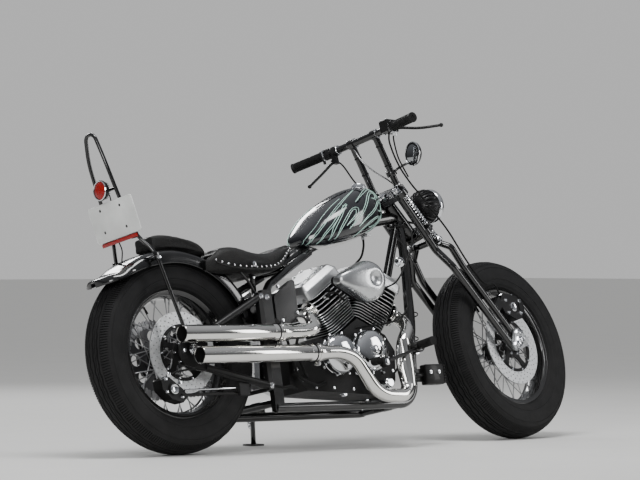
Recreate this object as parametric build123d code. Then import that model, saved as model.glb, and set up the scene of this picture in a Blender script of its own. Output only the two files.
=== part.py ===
from build123d import *
import os
from math import atan2, cos, degrees, pi, radians, sin, sqrt, tan

# Chopper motorcycle with a springer fork and an open twin-cylinder engine.
# Everything is drawn upright with the steering straight, in millimetres: x forward from the rear axle,
# y left, z up, with both axles at AXLE_Z. At the end the fork is turned left, the machine leans on its
# side stand and the origin moves to the middle of its footprint on the floor.

# Driving dimensions
WHEELBASE = 1552.0
WHEEL_RADIUS = 330.0
AXLE_Z = 330.0
RAKE = 40.0
STEER_LEFT = 10.65
LEAN = 10.95
AXIS_SET_BACK = 30.0

TYRE_WIDTH = 138.0
TYRE_CROWN = 92.0
BEAD_RADIUS = 204.0
FLANGE_RADIUS = 217.0
RIM_HALF = 46.0
SPOKE_RADIUS = 2.3
SPOKE_COUNT = 40
HUB_RADIUS = 27.0
HUB_FLANGE = 44.0
HUB_PAST = 6.2
REAR_FLANGE_Y = 56.0
FRONT_FLANGE_Y = 46.0
SEAT_GAP = 0.3
SHAFT_GAP = 0.05

AXLE_RADIUS = 10.0
REAR_AXLE_HALF = 128.0
FRONT_AXLE_HALF = 122.0
DISC_THICK = 5.0
REAR_DISC_RADIUS = 137.5
REAR_DISC_Y = -65.0
DISC_HOLES = 24
FRONT_DISC_RADIUS = 144.5
FRONT_DISC_Y = -55.0

CHAIN_PITCH = 15.875
CHAIN_Y = 84.0
REAR_TEETH = 48
FRONT_TEETH = 24
SHAFT_X = 566.0
SHAFT_Z = 300.0

TUBE = 16.0
RAIL_Y = 110.0
RAIL_Z = 130.0
ARM_Y = 112.0
ARM_RADIUS = 13.0
UPRIGHT_X0 = 330.0
UPRIGHT_X1 = 372.0
UPRIGHT_Y = 100.0
UPRIGHT_THICK = 22.0
UPRIGHT_TOP = 530.0
CROSS_X = 344.0
CROSS_Z = 505.0
SEAT_LOW = 597.0
FENDER_GAP = 18.0
FENDER_HALF = 82.0
FENDER_SKIRT = 48.0
FENDER_REAR = 126.0
FENDER_FRONT = 22.0
TAIL_DROP = 12.0
TAIL_LENGTH = 134.0
STEM_RADIUS = 15.0
CROWN_THICK = 20.0
TREE_HEIGHT = 696.0
CROWN_DROP = 173.0

LEG_Y = 95.0
LEG_RADIUS = 13.5
REAR_LEG_SET = -30.0
SPRING_LEG_SET = 17.0
CROWN_Y = 60.0
CROWN_SET = 8.0
SPRING_SET = 38.0
SPRING_Y = 54.0
SPRING_RADIUS = 11.5
WIRE_RADIUS = 3.0
YOKE_DROP = 49.0
ROCKER_THICK = 8.0
LAMP_RISE = 14.0
LAMP_SET = 187.0
LAMP_RADIUS = 60.0
LAMP_RIBS = 26

CRANK_X = 795.0
CRANK_Z = 310.0
REAR_TILT = 31.0
FRONT_TILT = 26.0
DECK = 112.0
BARREL_FINS = 9
HEAD_FINS = 5
HEAD_START = 95.0
HEAD_TOP = 275.0
CASE_HALF = 78.0
CASE_LEFT = 70.0
PIPE_RADIUS = 23.5
MUFFLER_RADIUS = 29.5
EXHAUST_Y = -188.0
MUFFLER_WALL = 4.0
CARB_X = 784.0
CARB_Z = 563.0

BAR_RISE = 215.0
BAR_SET = 112.0
BAR_BEND_Y = 70.0
GRIP_RISE = 244.0
GRIP_SET = 48.0
GRIP_Y = 284.0
GRIP_LENGTH = 116.0
RISER_Y = 54.0
RISER_SET = 44.0
RISER_RADIUS = 12.0
BAR_RADIUS = 12.7
HOSE_RADIUS = 3.2
PLATE_TILT = 12.7

# Derived places
REAR_AXLE = Vector(0, 0, AXLE_Z)
FRONT_AXLE = Vector(WHEELBASE, 0, AXLE_Z)
STEER_POINT = Vector(WHEELBASE - AXIS_SET_BACK, 0, AXLE_Z)
FENDER_RADIUS = WHEEL_RADIUS + FENDER_GAP
CROWN_HEIGHT = TREE_HEIGHT - CROWN_DROP
TREE_TOP = TREE_HEIGHT + CROWN_THICK
STEER_UP = Vector(-sin(radians(RAKE)), 0, cos(radians(RAKE)))
STEER_AHEAD = Vector(cos(radians(RAKE)), 0, sin(radians(RAKE)))


# Shape helpers

def rod(start, end, radius):
    """A round bar between two points."""
    start = Vector(*start)
    end = Vector(*end)
    along = end - start
    place = Plane(origin=start, z_dir=along)
    return place * Cylinder(radius, along.length, align=(Align.CENTER, Align.CENTER, Align.MIN))


def cone_rod(start, end, first, last):
    """A round bar whose radius changes from first to last."""
    start = Vector(*start)
    end = Vector(*end)
    along = end - start
    place = Plane(origin=start, z_dir=along)
    return place * Cone(first, last, along.length, align=(Align.CENTER, Align.CENTER, Align.MIN))


def even_radii(points):
    """The largest even bend at each corner: 0.45 of its shorter run over the tangent of half the turn."""
    radii = []
    for before, at, after in zip(points, points[1:], points[2:]):
        first = Vector(*at) - Vector(*before)
        second = Vector(*after) - Vector(*at)
        turn = radians(first.get_angle(second))
        radii.append(0.45 * min(first.length, second.length) / tan(turn / 2))
    return radii


def bent_tube(points, radii, radius):
    """A round tube along straight runs joined by tangent arcs."""
    corners = [Vector(*p) for p in points]
    if len(corners) == 2:
        return rod(points[0], points[1], radius)
    path = FilletPolyline(*corners, radius=radii)
    start = Plane(origin=path @ 0, z_dir=path % 0)
    return sweep(start * Circle(radius), path=path)


def block(x0, x1, y0, y1, z0, z1):
    """A box between two corners."""
    box = Box(x1 - x0, y1 - y0, z1 - z0, align=(Align.MIN, Align.MIN, Align.MIN))
    return Pos(x0, y0, z0) * box


def side_plate(outline, y0, y1):
    """A plate from an outline of (x, z) points, from y0 to y1."""
    place = Plane(origin=(0, y1, 0), x_dir=(1, 0, 0), z_dir=(0, -1, 0))
    return extrude(place * make_face(Polyline(*outline, close=True)), y1 - y0)


def link_plate(circles, y0, y1):
    """A plate drawn tight around circles of (x, z, radius), from y0 to y1."""
    place = Plane(origin=(0, y1, 0), x_dir=(1, 0, 0), z_dir=(0, -1, 0))
    edges = [Pos(x, z, 0) * Edge.make_circle(radius) for x, z, radius in circles]
    return extrude(place * make_hull(edges), y1 - y0)


def wheel_ring(profile, centre):
    """A ring about a wheel's axle from a profile of (radius, y) points."""
    place = Plane(origin=centre, x_dir=(1, 0, 0), z_dir=(0, 0, 1))
    face = place * make_face(Polyline(*profile, close=True))
    return revolve(face, Axis((centre.X, 0, centre.Z), (0, 1, 0)), 360)


def axle_disc(centre, y0, y1, radius):
    """A round slice about an axle, from y0 to y1."""
    return rod((centre.X, y0, centre.Z), (centre.X, y1, centre.Z), radius)


def fork_block(h0, h1, a0, a1, y0, y1):
    """A box lined up with the steering axis: heights h, distances ahead a, and y."""
    place = Plane(origin=fork_point(h0, a0, y0), x_dir=STEER_AHEAD, z_dir=STEER_UP)
    return place * Box(a1 - a0, y1 - y0, h1 - h0, align=(Align.MIN, Align.MIN, Align.MIN))


def fork_plate(circles, height, thick):
    """A plate across the fork, drawn tight around circles of (y, ahead, radius)."""
    place = Plane(origin=fork_point(height, 0, 0), x_dir=(0, 1, 0), z_dir=STEER_UP)
    edges = [Pos(y, -ahead, 0) * Edge.make_circle(radius) for y, ahead, radius in circles]
    return place * extrude(make_hull(edges), thick)


def fork_point(height, ahead, y):
    """A point beside the steering axis: height along the axis above the axle line, ahead of it, and y."""
    at = STEER_POINT + STEER_UP * height + STEER_AHEAD * ahead
    return (at.X, y, at.Z)


# Wheels

def tyre(centre):
    half = TYRE_WIDTH / 2
    crown_drop = TYRE_CROWN - sqrt(TYRE_CROWN ** 2 - (half - 13) ** 2)
    shoulder = WHEEL_RADIUS - crown_drop
    bead_half = RIM_HALF - 5
    place = Plane(origin=centre, x_dir=(1, 0, 0), z_dir=(0, 0, 1))
    crown = ThreePointArc((shoulder, -half + 13), (WHEEL_RADIUS, 0), (shoulder, half - 13))
    foot = FLANGE_RADIUS + 5
    right = ThreePointArc((shoulder, -half + 13), (shoulder - 32, -half), (foot, -half + 13))
    left = ThreePointArc((shoulder, half - 13), (shoulder - 32, half), (foot, half - 13))
    low = Polyline(
        (foot, -half + 13),
        (FLANGE_RADIUS + 1, -bead_half),
        (BEAD_RADIUS, -bead_half),
        (BEAD_RADIUS, bead_half),
        (FLANGE_RADIUS + 1, bead_half),
        (foot, half - 13),
    )
    face = make_face([crown, right, left, low])
    return revolve(place * face, Axis((centre.X, 0, centre.Z), (0, 1, 0)), 360)


def rim(centre):
    inner = BEAD_RADIUS - 14
    edge = RIM_HALF - 5
    profile = [
        (BEAD_RADIUS - SEAT_GAP, -edge),
        (FLANGE_RADIUS, -edge - SEAT_GAP),
        (FLANGE_RADIUS, -RIM_HALF),
        (BEAD_RADIUS - 5, -RIM_HALF),
        (inner, -14),
        (inner, 14),
        (BEAD_RADIUS - 5, RIM_HALF),
        (FLANGE_RADIUS, RIM_HALF),
        (FLANGE_RADIUS, edge + SEAT_GAP),
        (BEAD_RADIUS - SEAT_GAP, edge),
    ]
    return wheel_ring(profile, centre)


def spokes(centre, right_flange, left_flange):
    """The hub with its two flanges and laced spokes that end at the rim."""
    hub = axle_disc(centre, right_flange - HUB_PAST, left_flange + HUB_PAST, HUB_RADIUS)
    hub += axle_disc(centre, right_flange - 4, right_flange + 4, HUB_FLANGE)
    hub += axle_disc(centre, left_flange - 4, left_flange + 4, HUB_FLANGE)
    hub -= axle_disc(centre, right_flange - 20, left_flange + 20, AXLE_RADIUS + SHAFT_GAP)
    rim_end = BEAD_RADIUS - 14 - 1.2
    laced = []
    for n in range(SPOKE_COUNT):
        side = 1 if n % 2 else -1
        lace = 1 if (n // 2) % 2 else -1
        flange = left_flange if side > 0 else right_flange
        at_rim = 2 * pi * n / SPOKE_COUNT
        at_hub = at_rim + lace * radians(62)
        low = (
            centre.X + (HUB_FLANGE - 7) * cos(at_hub),
            flange + lace * 2,
            centre.Z + (HUB_FLANGE - 7) * sin(at_hub),
        )
        high = (centre.X + rim_end * cos(at_rim), side * 8, centre.Z + rim_end * sin(at_rim))
        along = Vector(*high) - Vector(*low)
        start = Plane(origin=Vector(*low), z_dir=along)
        laced.append(extrude(start * RegularPolygon(SPOKE_RADIUS, 6), along.length))
    return hub + laced


def brake_disc(centre, y, radius, windows):
    """A drilled outer band on a carrier with round windows, open at the hub."""
    half = DISC_THICK / 2
    disc = axle_disc(centre, y - half, y + half, radius)
    cuts = [axle_disc(centre, y - DISC_THICK, y + DISC_THICK, AXLE_RADIUS + 16)]
    spots = [(radius * 0.52, (n + 0.5) / windows, radius * 0.13) for n in range(windows)]
    spots += [(radius * (0.80 if n % 2 else 0.92), n / DISC_HOLES, 3.6) for n in range(DISC_HOLES)]
    for reach, share, size in spots:
        turn = 2 * pi * share
        spot = Vector(centre.X + reach * cos(turn), 0, centre.Z + reach * sin(turn))
        cuts.append(axle_disc(spot, y - DISC_THICK, y + DISC_THICK, size))
    return disc - cuts


def sprocket(centre, teeth, y, thick):
    """A chain wheel with pointed teeth and round lightening holes."""
    pitch_radius = CHAIN_PITCH / (2 * sin(pi / teeth))
    root = pitch_radius - 5.5
    tip = pitch_radius + 4.0
    outline = []
    for n in range(teeth):
        turn = 2 * pi * n / teeth
        step = 2 * pi / teeth
        for radius, share in ((root, -0.22), (root, 0.22), (tip, 0.42), (tip, 0.58)):
            a = turn + share * step
            outline.append((centre.X + radius * cos(a), centre.Z + radius * sin(a)))
    return side_plate(outline, y - thick / 2, y + thick / 2)


def rear_sprocket():
    wheel = sprocket(REAR_AXLE, REAR_TEETH, CHAIN_Y, 7)
    for n in range(8):
        turn = 2 * pi * n / 8
        spot = Vector(REAR_AXLE.X + 80 * cos(turn), 0, REAR_AXLE.Z + 80 * sin(turn))
        wheel -= axle_disc(spot, CHAIN_Y - 10, CHAIN_Y + 10, 20)
    wheel += axle_disc(REAR_AXLE, REAR_FLANGE_Y + HUB_PAST + SEAT_GAP, CHAIN_Y - 3.5, 48)
    wheel -= axle_disc(REAR_AXLE, 0, CHAIN_Y + 20, AXLE_RADIUS + 8)
    return wheel


def drive_chain():
    """The chain as two rows of side plates with rollers between them, round both chain wheels."""
    r_rear = CHAIN_PITCH / (2 * sin(pi / REAR_TEETH))
    r_front = CHAIN_PITCH / (2 * sin(pi / FRONT_TEETH))
    rise = SHAFT_Z - REAR_AXLE.Z
    span = sqrt(SHAFT_X ** 2 + rise ** 2)
    slope = atan2(rise, SHAFT_X)
    run = sqrt(span ** 2 - (r_rear - r_front) ** 2)
    wrap = atan2(r_rear - r_front, run)
    top = slope + pi / 2 - wrap
    bottom = slope - pi / 2 + wrap
    rear_steps = 24
    front_steps = 12

    def around(shift):
        pts = []
        for n in range(rear_steps + 1):
            a = top + (2 * pi - (top - bottom)) * n / rear_steps
            reach = r_rear + shift
            pts.append((REAR_AXLE.X + reach * cos(a), REAR_AXLE.Z + reach * sin(a)))
        for n in range(front_steps + 1):
            a = bottom + (top - bottom) * n / front_steps
            pts.append((SHAFT_X + (r_front + shift) * cos(a), SHAFT_Z + (r_front + shift) * sin(a)))
        return pts

    row = 8.0
    rows = []
    for y0 in (CHAIN_Y - row - 2, CHAIN_Y + row):
        outer = side_plate(around(row), y0, y0 + 2)
        inner = side_plate(around(-row), y0 - 1, y0 + 3)
        rows.append(outer - inner)
    links = int(round(run / CHAIN_PITCH))
    rollers = []
    for n in range(3, links - 2):
        for a, lie in ((top, slope - wrap), (bottom, slope + wrap)):
            along = run * n / links
            x = REAR_AXLE.X + r_rear * cos(a) + along * cos(lie)
            z = REAR_AXLE.Z + r_rear * sin(a) + along * sin(lie)
            place = Plane(origin=(x, CHAIN_Y - row, z), z_dir=(0, 1, 0))
            rollers.append(extrude(place * RegularPolygon(5, 6), 2 * row))
    return rows[0] + [rows[1]] + rollers


# Frame and rear arm

BACKBONE = [(860, 0, 776), (600, 0, 668), (505, 0, 612)]


def frame():
    """Head tube, backbone, seat rails, down tubes that turn into the bottom rails, and rear uprights."""
    body = rod(fork_point(548, 0, 0), fork_point(688, 0, 0), 25)
    body += bent_tube([fork_point(640, -12, 0), *BACKBONE], [160, 140], 22)
    for s in (-1, 1):
        upright_y = s * (UPRIGHT_Y + UPRIGHT_THICK / 2)
        body += bent_tube(
            [
                fork_point(610, -14, s * 10),
                (1070, s * 56, 570),
                (1000, s * RAIL_Y, 330),
                (978, s * RAIL_Y, RAIL_Z),
                (340, s * RAIL_Y, RAIL_Z),
            ],
            [110, 150, 70],
            TUBE,
        )
        body += block(
            UPRIGHT_X0,
            UPRIGHT_X1,
            upright_y - UPRIGHT_THICK / 2,
            upright_y + UPRIGHT_THICK / 2,
            RAIL_Z - 12,
            UPRIGHT_TOP,
        )
        body += bent_tube([(352, upright_y, 516), (400, s * 84, 556), (640, s * 38, 676)], [60], TUBE - 2)
    body += rod((352, -UPRIGHT_Y - 5, 150), (352, UPRIGHT_Y + 5, 150), TUBE - 2)
    body += rod((CROSS_X, -UPRIGHT_Y - 5, CROSS_Z), (CROSS_X, UPRIGHT_Y + 5, CROSS_Z), TUBE - 4)
    body += block(435, 475, 100, 126, 120, 170)
    body += rod((505, -66, 612), (505, 66, 612), TUBE - 2)
    body += rod((925, -RAIL_Y, RAIL_Z), (925, RAIL_Y, RAIL_Z), TUBE - 3)
    return body - rod(fork_point(530, 0, 0), fork_point(700, 0, 0), STEM_RADIUS + SHAFT_GAP)


def swing_arm():
    """The rear arm: an axle plate and two stays each side, the axle and its spacers."""
    whole = axle_disc(REAR_AXLE, -REAR_AXLE_HALF, REAR_AXLE_HALF, AXLE_RADIUS)
    for s in (-1, 1):
        plate = side_plate(
            [(-48, 316), (-34, 282), (40, 258), (66, 272), (70, 368), (44, 390), (-30, 372), (-48, 348)],
            s * ARM_Y - 6,
            s * ARM_Y + 6,
        )
        face = UPRIGHT_X0 - 6
        low = rod((50, s * ARM_Y, 272), (face, s * ARM_Y, 205), ARM_RADIUS)
        high = rod((40, s * ARM_Y, 370), (face, s * ARM_Y, 508), ARM_RADIUS)
        post = block(face - 12, UPRIGHT_X0, s * ARM_Y - 10, s * ARM_Y + 10, 190, 522)
        whole += plate + low + high + post
        whole += axle_disc(REAR_AXLE, *sorted((s * (ARM_Y + 6), s * (REAR_AXLE_HALF - 2))), 17)
    whole += block(185, 228, -118, -106, 175, 230)
    hub_end = REAR_FLANGE_Y + HUB_PAST + SEAT_GAP
    whole += axle_disc(REAR_AXLE, -ARM_Y, -hub_end, 15)
    whole += axle_disc(REAR_AXLE, hub_end, ARM_Y, 15)
    return whole


# Body work

SISSY_ROUTE = [
    (-17, -124.8, 365),
    (-92, -108, 640),
    (-104, -98, 672),
    (-135, -60, 727),
    (-178, -50, 855),
    (-216, -42, 985),
    (-232, -22, 1072),
]
BAR_WIRE = 6.5
CAP_AT = Vector(947, 0, 902)
CAP_UP = Vector(0.2, 0, 0.98).normalized()
LAMP_STRAP_Z = 885.0
PLATE_AT = Vector(-176, 9, 791)


def section(x, half, low, high, corner):
    """An upright rounded section across the machine at x."""
    place = Plane(origin=(x, 0, (low + high) / 2), x_dir=(0, 1, 0), z_dir=(1, 0, 0))
    return place * RectangleRounded(2 * half, high - low, corner)


def tank():
    """A teardrop tank, high at the front, with a tunnel that sits over the backbone."""
    sections = [
        section(622, 42, 700, 742, 16),
        section(660, 84, 694, 778, 34),
        section(720, 118, 695, 828, 56),
        section(800, 130, 706, 876, 70),
        section(890, 118, 732, 911, 74),
        section(965, 80, 768, 904, 56),
        section(1010, 30, 804, 866, 26),
    ]
    tunnel = bent_tube([fork_point(640, -12, 0), *BACKBONE], [160, 140], 22.3)
    below = side_plate([(600, 600), (600, 668), (860, 776), (1100, 816), (1100, 600)], -25, 25)
    return loft(sections) - tunnel - below - rod(CAP_AT, CAP_AT + CAP_UP * 60, 27)


def filler_cap():
    """A round cap on the top of the tank, with a stepped rim."""
    step = CAP_AT + CAP_UP * 24
    return rod(CAP_AT + CAP_UP * SEAT_GAP, step, 25) + rod(step, step + CAP_UP * 6, 21)


def seat():
    """A solo seat whose rear wraps down beside the fender in two lobes."""
    sections = [
        section(110, 112, 596, 640, 18),
        section(150, 126, 590, 662, 26),
        section(200, 138, 590, 677, 32),
        section(290, 145, 592, 666, 32),
        section(400, 132, 596, 660, 28),
        section(500, 84, 638, 690, 24),
        section(585, 46, 694, 716, 10),
    ]
    fender_room = axle_disc(REAR_AXLE, -FENDER_HALF - 12, FENDER_HALF + 12, FENDER_RADIUS + 7)
    pad_room = block(0, 153, -95, 95, 600, 760)
    bracket_room = block(325, 365, -90, 90, 560, SEAT_LOW)
    rails = bent_tube(BACKBONE, [140], 24)
    return loft(sections) - fender_room - pad_room - bracket_room - rails


def seat_bracket():
    """Two upright straps that carry the seat on the frame's cross tube, tied by a round bar."""
    low = CROSS_Z + TUBE - 4 + SEAT_GAP
    whole = rod((CROSS_X, -72, 555), (CROSS_X, 72, 555), 6)
    for s in (-1, 1):
        top = SEAT_LOW - SEAT_GAP
        whole += block(CROSS_X - 9, CROSS_X + 9, *sorted((s * 63, s * 69)), low, top)
        whole += block(CROSS_X - 14, CROSS_X + 14, *sorted((s * 56, s * 76)), top - 5, top)
    return whole


def side_panel():
    """Glossy covers below the seat, on a box that fits between the uprights."""
    outline = [(377, 506), (392, 520), (470, 564), (477, 558)]
    outline += [(478, 440), (446, 414), (398, 414), (377, 432)]
    whole = block(UPRIGHT_X0 + 30, 462, -UPRIGHT_Y, UPRIGHT_Y, 427, 492)
    for s in (-1, 1):
        whole += side_plate(outline, *sorted((s * UPRIGHT_Y, s * 127)))
    return whole


def fender_outline(turn, corner, half, skirt):
    """A rolled section across the fender: turn is its angle round the axle and corner where its top is."""
    out = Vector(cos(radians(turn)), 0, sin(radians(turn)))
    place = Plane(origin=corner, x_dir=out, z_dir=out.cross(Vector(0, 1, 0)))
    left = [(0, half - 18), (-12, half), (-skirt, half + 3)]
    left += [(-skirt, half - 1), (-14, half - 4), (-4, half - 20)]
    right = [(x, -y) for x, y in reversed(left)]
    return place * make_face(Polyline(*left, *right, close=True))


def rear_fender():
    """A rolled fender over the rear wheel whose rear end runs straight out as a tail."""
    out = Vector(cos(radians(FENDER_REAR)), 0, sin(radians(FENDER_REAR)))
    start = REAR_AXLE + out * FENDER_RADIUS
    arch_start = fender_outline(FENDER_REAR, start, FENDER_HALF, FENDER_SKIRT)
    arch = revolve(arch_start, Axis(REAR_AXLE, (0, 1, 0)), FENDER_REAR - FENDER_FRONT)
    lie = Vector(-cos(radians(TAIL_DROP)), 0, -sin(radians(TAIL_DROP)))
    middle = fender_outline(90 + TAIL_DROP, start + lie * 90, FENDER_HALF - 3, 27)
    tip = fender_outline(90 + TAIL_DROP, start + lie * TAIL_LENGTH, FENDER_HALF - 16, 20)
    return arch + loft([arch_start, middle, tip], ruled=True)


def sissy_point(z):
    """The place on the right leg of the tall bar at height z."""
    for low, high in zip(SISSY_ROUTE, SISSY_ROUTE[1:]):
        if low[2] <= z <= high[2]:
            share = (z - low[2]) / (high[2] - low[2])
            return Vector(*low) + (Vector(*high) - Vector(*low)) * share
    return Vector(*SISSY_ROUTE[-1])


def standoff(z, side, face):
    """A short spacer from a leg of the tall bar back to a flat piece lined up with the plate."""
    start = sissy_point(z)
    start = Vector(start.X, side * abs(start.Y), start.Z)
    tilt = radians(PLATE_TILT)
    normal = Vector(cos(tilt), 0, sin(tilt))
    depth = (start - PLATE_AT).dot(normal) - face - SEAT_GAP
    return rod(start, start - normal * depth, 5)


def sissy_bar():
    """A tall narrow loop of bar whose two legs run down beside the fender to the axle plates."""
    left = [(x, -y, z) for x, y, z in reversed(SISSY_ROUTE)]
    route = SISSY_ROUTE + left
    whole = bent_tube(route, even_radii(route), BAR_WIRE)
    foot = Vector(*SISSY_ROUTE[0])
    cross = sissy_point(LAMP_STRAP_Z)
    whole += rod(cross, (cross.X, -cross.Y, cross.Z), 5)
    boss = sissy_point(641)
    for s in (-1, 1):
        whole += axle_disc(foot, *sorted((s * (ARM_Y + 6 + SEAT_GAP), s * (abs(foot.Y) + 5))), 12)
        whole += rod((boss.X, s * (FENDER_HALF + 2), boss.Z), (boss.X, s * abs(boss.Y), boss.Z), 7)
        for z in (760, 830):
            whole += standoff(z, s, 1.5)
        whole += standoff(722, s, 4)
    return whole


def pillion_pad():
    """A small pad that sits on top of the rear fender."""
    sections = [
        section(-62, 50, 640, 727, 12),
        section(-20, 64, 640, 731, 18),
        section(60, 80, 640, 717, 20),
        section(120, 84, 630, 697, 20),
        section(150, 72, 620, 674, 14),
    ]
    return loft(sections) - axle_disc(REAR_AXLE, -160, 160, FENDER_RADIUS + SEAT_GAP)


def number_plate():
    """A blank plate with four round bolt heads."""
    place = Pos(PLATE_AT) * Rot(0, -PLATE_TILT, 0)
    whole = place * Box(3, 230, 125)
    for y in (-52, 52):
        for z in (-40, 40):
            whole += place * Pos(-2.5, y, z) * Rot(0, 90, 0) * Cylinder(6, 3)
    return whole


def tail_lamp():
    """A round lamp: a tapered housing on the bar's cross piece, a rim and a domed lens."""
    cross = sissy_point(LAMP_STRAP_Z)
    back = cross.X - 5 - SEAT_GAP
    z = cross.Z
    whole = cone_rod((back, 0, z), (back - 13, 0, z), 22, 31)
    whole += rod((back - 13, 0, z), (back - 18, 0, z), 33)
    return whole + cone_rod((back - 18, 0, z), (back - 25, 0, z), 28, 20)


def reflector_bar():
    return Pos(PLATE_AT) * Rot(0, -PLATE_TILT, 0) * Pos(0, -4, -71) * Box(8, 190, 13)


# Engine

CLEANER = [(757, 547, 72), (640, 552, 21)]


def deck_point(tilt, along, height):
    """A point beside a cylinder's axis: along the deck, and height above the crank."""
    a = radians(tilt)
    return (CRANK_X + height * sin(a) + along * cos(a), CRANK_Z + height * cos(a) - along * sin(a))


def crankcase():
    half = 76
    rear_low = deck_point(-REAR_TILT, -half, DECK)
    front_low = deck_point(FRONT_TILT, half, DECK)
    valley = radians((REAR_TILT + FRONT_TILT) / 2)
    meet = deck_point((FRONT_TILT - REAR_TILT) / 2, 0, DECK / cos(valley))
    outline = [(470, 250), (520, 190), (880, 165), (935, 215), (950, 320)]
    outline += [front_low, meet, rear_low, (600, 372), (485, 345)]
    return side_plate(outline, -CASE_HALF, CASE_LEFT)


def round_covers():
    """The right side cover with its two round covers, each with a bevelled face."""
    outline = [(560, 250), (600, 228), (860, 228), (885, 300), (860, 380), (600, 372), (560, 330)]
    whole = side_plate(outline, -112, -CASE_HALF)
    for x, z, radius, face in ((653, 308, 68, -146), (803, 317, 72, -140)):
        whole += axle_disc(Vector(x, 0, z), face + 9, -112, radius)
        whole += cone_rod((x, face + 9, z), (x, face, z), radius, radius - 18)
    return whole


def oil_filter():
    """A plain filter can on the front of the right side of the case."""
    can = rod((831, -CASE_HALF - SEAT_GAP, 197), (831, -158, 197), 18)
    return can + cone_rod((831, -158, 197), (831, -165, 197), 18, 12)


def cylinder(tilt):
    """A finned barrel and head that leans by tilt from upright, forward where it is positive."""
    place = Pos(CRANK_X, 0, CRANK_Z) * Rot(0, tilt, 0)
    rise = HEAD_TOP - DECK
    whole = Pos(0, 0, DECK) * Cylinder(62, rise, align=(Align.CENTER, Align.CENTER, Align.MIN))
    whole += Pos(0, 0, DECK + HEAD_START) * extrude(RectangleRounded(132, 140, 24), rise - HEAD_START)
    fins = []
    for n in range(BARREL_FINS):
        low = DECK + 9 + n * (HEAD_START - 9) / BARREL_FINS
        grow = 0.84 + 0.018 * n
        outline = RectangleRounded(176 * grow, 180 * grow, 34)
        fins.append(Pos(0, 0, low) * extrude(outline, 3.2))
    for n in range(HEAD_FINS):
        low = DECK + HEAD_START + n * (rise - HEAD_START - 5) / (HEAD_FINS - 1)
        fins.append(Pos(0, 0, low) * extrude(RectangleRounded(176, 180, 34), 5))
    side = 1 if tilt < 0 else -1
    half_v = (REAR_TILT + FRONT_TILT) / 2
    away = Rot(0, side * half_v, 0) * Pos(side * 298, 0, 300) * Box(600, 400, 700)
    return place * (whole + fins - away)


def rocker_cover(tilt):
    place = Pos(CRANK_X, 0, CRANK_Z) * Rot(0, tilt, 0)
    base = extrude(RectangleRounded(188, 176, 18), 34)
    crown = Pos(0, 0, 34) * extrude(RectangleRounded(188, 176, 18), 20, taper=38)
    return place * (Pos(0, 0, HEAD_TOP) * (base + crown))


def carburettor():
    """The inlet pipe between the heads, the carburettor and the air cleaner's black back plate."""
    whole = rod((CARB_X - 28.5, -40, CARB_Z), (CARB_X + 28.4, -40, CARB_Z), 16)
    whole += rod((CARB_X, -40, CARB_Z), (CARB_X, -150, CARB_Z), 22)
    whole += block(CARB_X - 20, CARB_X + 20, -134, -98, CARB_Z - 48, CARB_Z)
    return whole + link_plate([(x, z, size - 3) for x, z, size in CLEANER], -165, -150)


def air_cleaner():
    """A polished teardrop cover that narrows towards its face."""
    place = Plane(origin=(0, -204, 0), x_dir=(1, 0, 0), z_dir=(0, -1, 0))
    edges = [Pos(x, z, 0) * Edge.make_circle(radius) for x, z, radius in CLEANER]
    crown = extrude(place * make_hull(edges), 22, taper=38)
    return link_plate(CLEANER, -204, -165 - SEAT_GAP) + crown


def drive_cover():
    """The left side cover, stood off the case in front of the chain."""
    outline = [(470, 230), (540, 200), (900, 175), (945, 240)]
    outline += [(930, 330), (860, 372), (560, 368), (480, 330)]
    inner = [(650, 200), (900, 190), (925, 240), (915, 320), (850, 355), (650, 355)]
    whole = side_plate(outline, 104, 132) + side_plate(inner, CASE_LEFT, 104)
    whole += axle_disc(Vector(835, 0, 280), 132, 142, 62)
    return whole + axle_disc(Vector(SHAFT_X, 0, 285), 132, 138, 48)


# Exhaust

def muffler(z, front, rear):
    """A straight muffler with a tapered front and an open rear end, on a stay from the frame's upright."""
    y = EXHAUST_Y
    whole = rod((front, y, z), (rear, y, z), MUFFLER_RADIUS)
    whole += cone_rod((front + 28, y, z), (front, y, z), PIPE_RADIUS + 1, MUFFLER_RADIUS)
    whole += rod((front - 6, y, z), (front - 22, y, z), MUFFLER_RADIUS + 2.5)
    whole += block(338, 362, y + MUFFLER_RADIUS - 4, -UPRIGHT_Y - UPRIGHT_THICK - SEAT_GAP, z - 10, z + 10)
    return whole - rod((rear - 1, y, z), (rear + 70, y, z), MUFFLER_RADIUS - MUFFLER_WALL)


def exhaust_upper():
    """The rear cylinder's pipe: out of the head, round an elbow and back into its muffler."""
    y = EXHAUST_Y
    x0, z0 = deck_point(-REAR_TILT, -88.3, 240)
    x1, z1 = deck_point(-REAR_TILT, -135, 240)
    route = [(x0, -62, z0), (x1, -62, z1), (508, -150, 428), (492, y, 386), (440, y, 374), (330, y, 373)]
    return bent_tube(route, even_radii(route), PIPE_RADIUS) + muffler(373, 345, -96)


def exhaust_lower():
    """The front cylinder's pipe: down in front of the engine, back along the rail and up to its muffler."""
    y = EXHAUST_Y
    x0, z0 = deck_point(FRONT_TILT, 88.3, 205)
    x1, z1 = deck_point(FRONT_TILT, 112, 205)
    route = [
        (x0, -58, z0),
        (x1, -58, z1),
        (984, -100, 420),
        (962, -145, 385),
        (908, -166, 335),
        (890, -170, 262),
        (896, -180, 175),
        (862, y, 147),
        (745, y, 151),
        (655, y, 282),
        (590, y, 303),
        (500, y, 302),
    ]
    return bent_tube(route, even_radii(route), PIPE_RADIUS) + muffler(302, 500, -30)


# Small frame pieces

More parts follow.
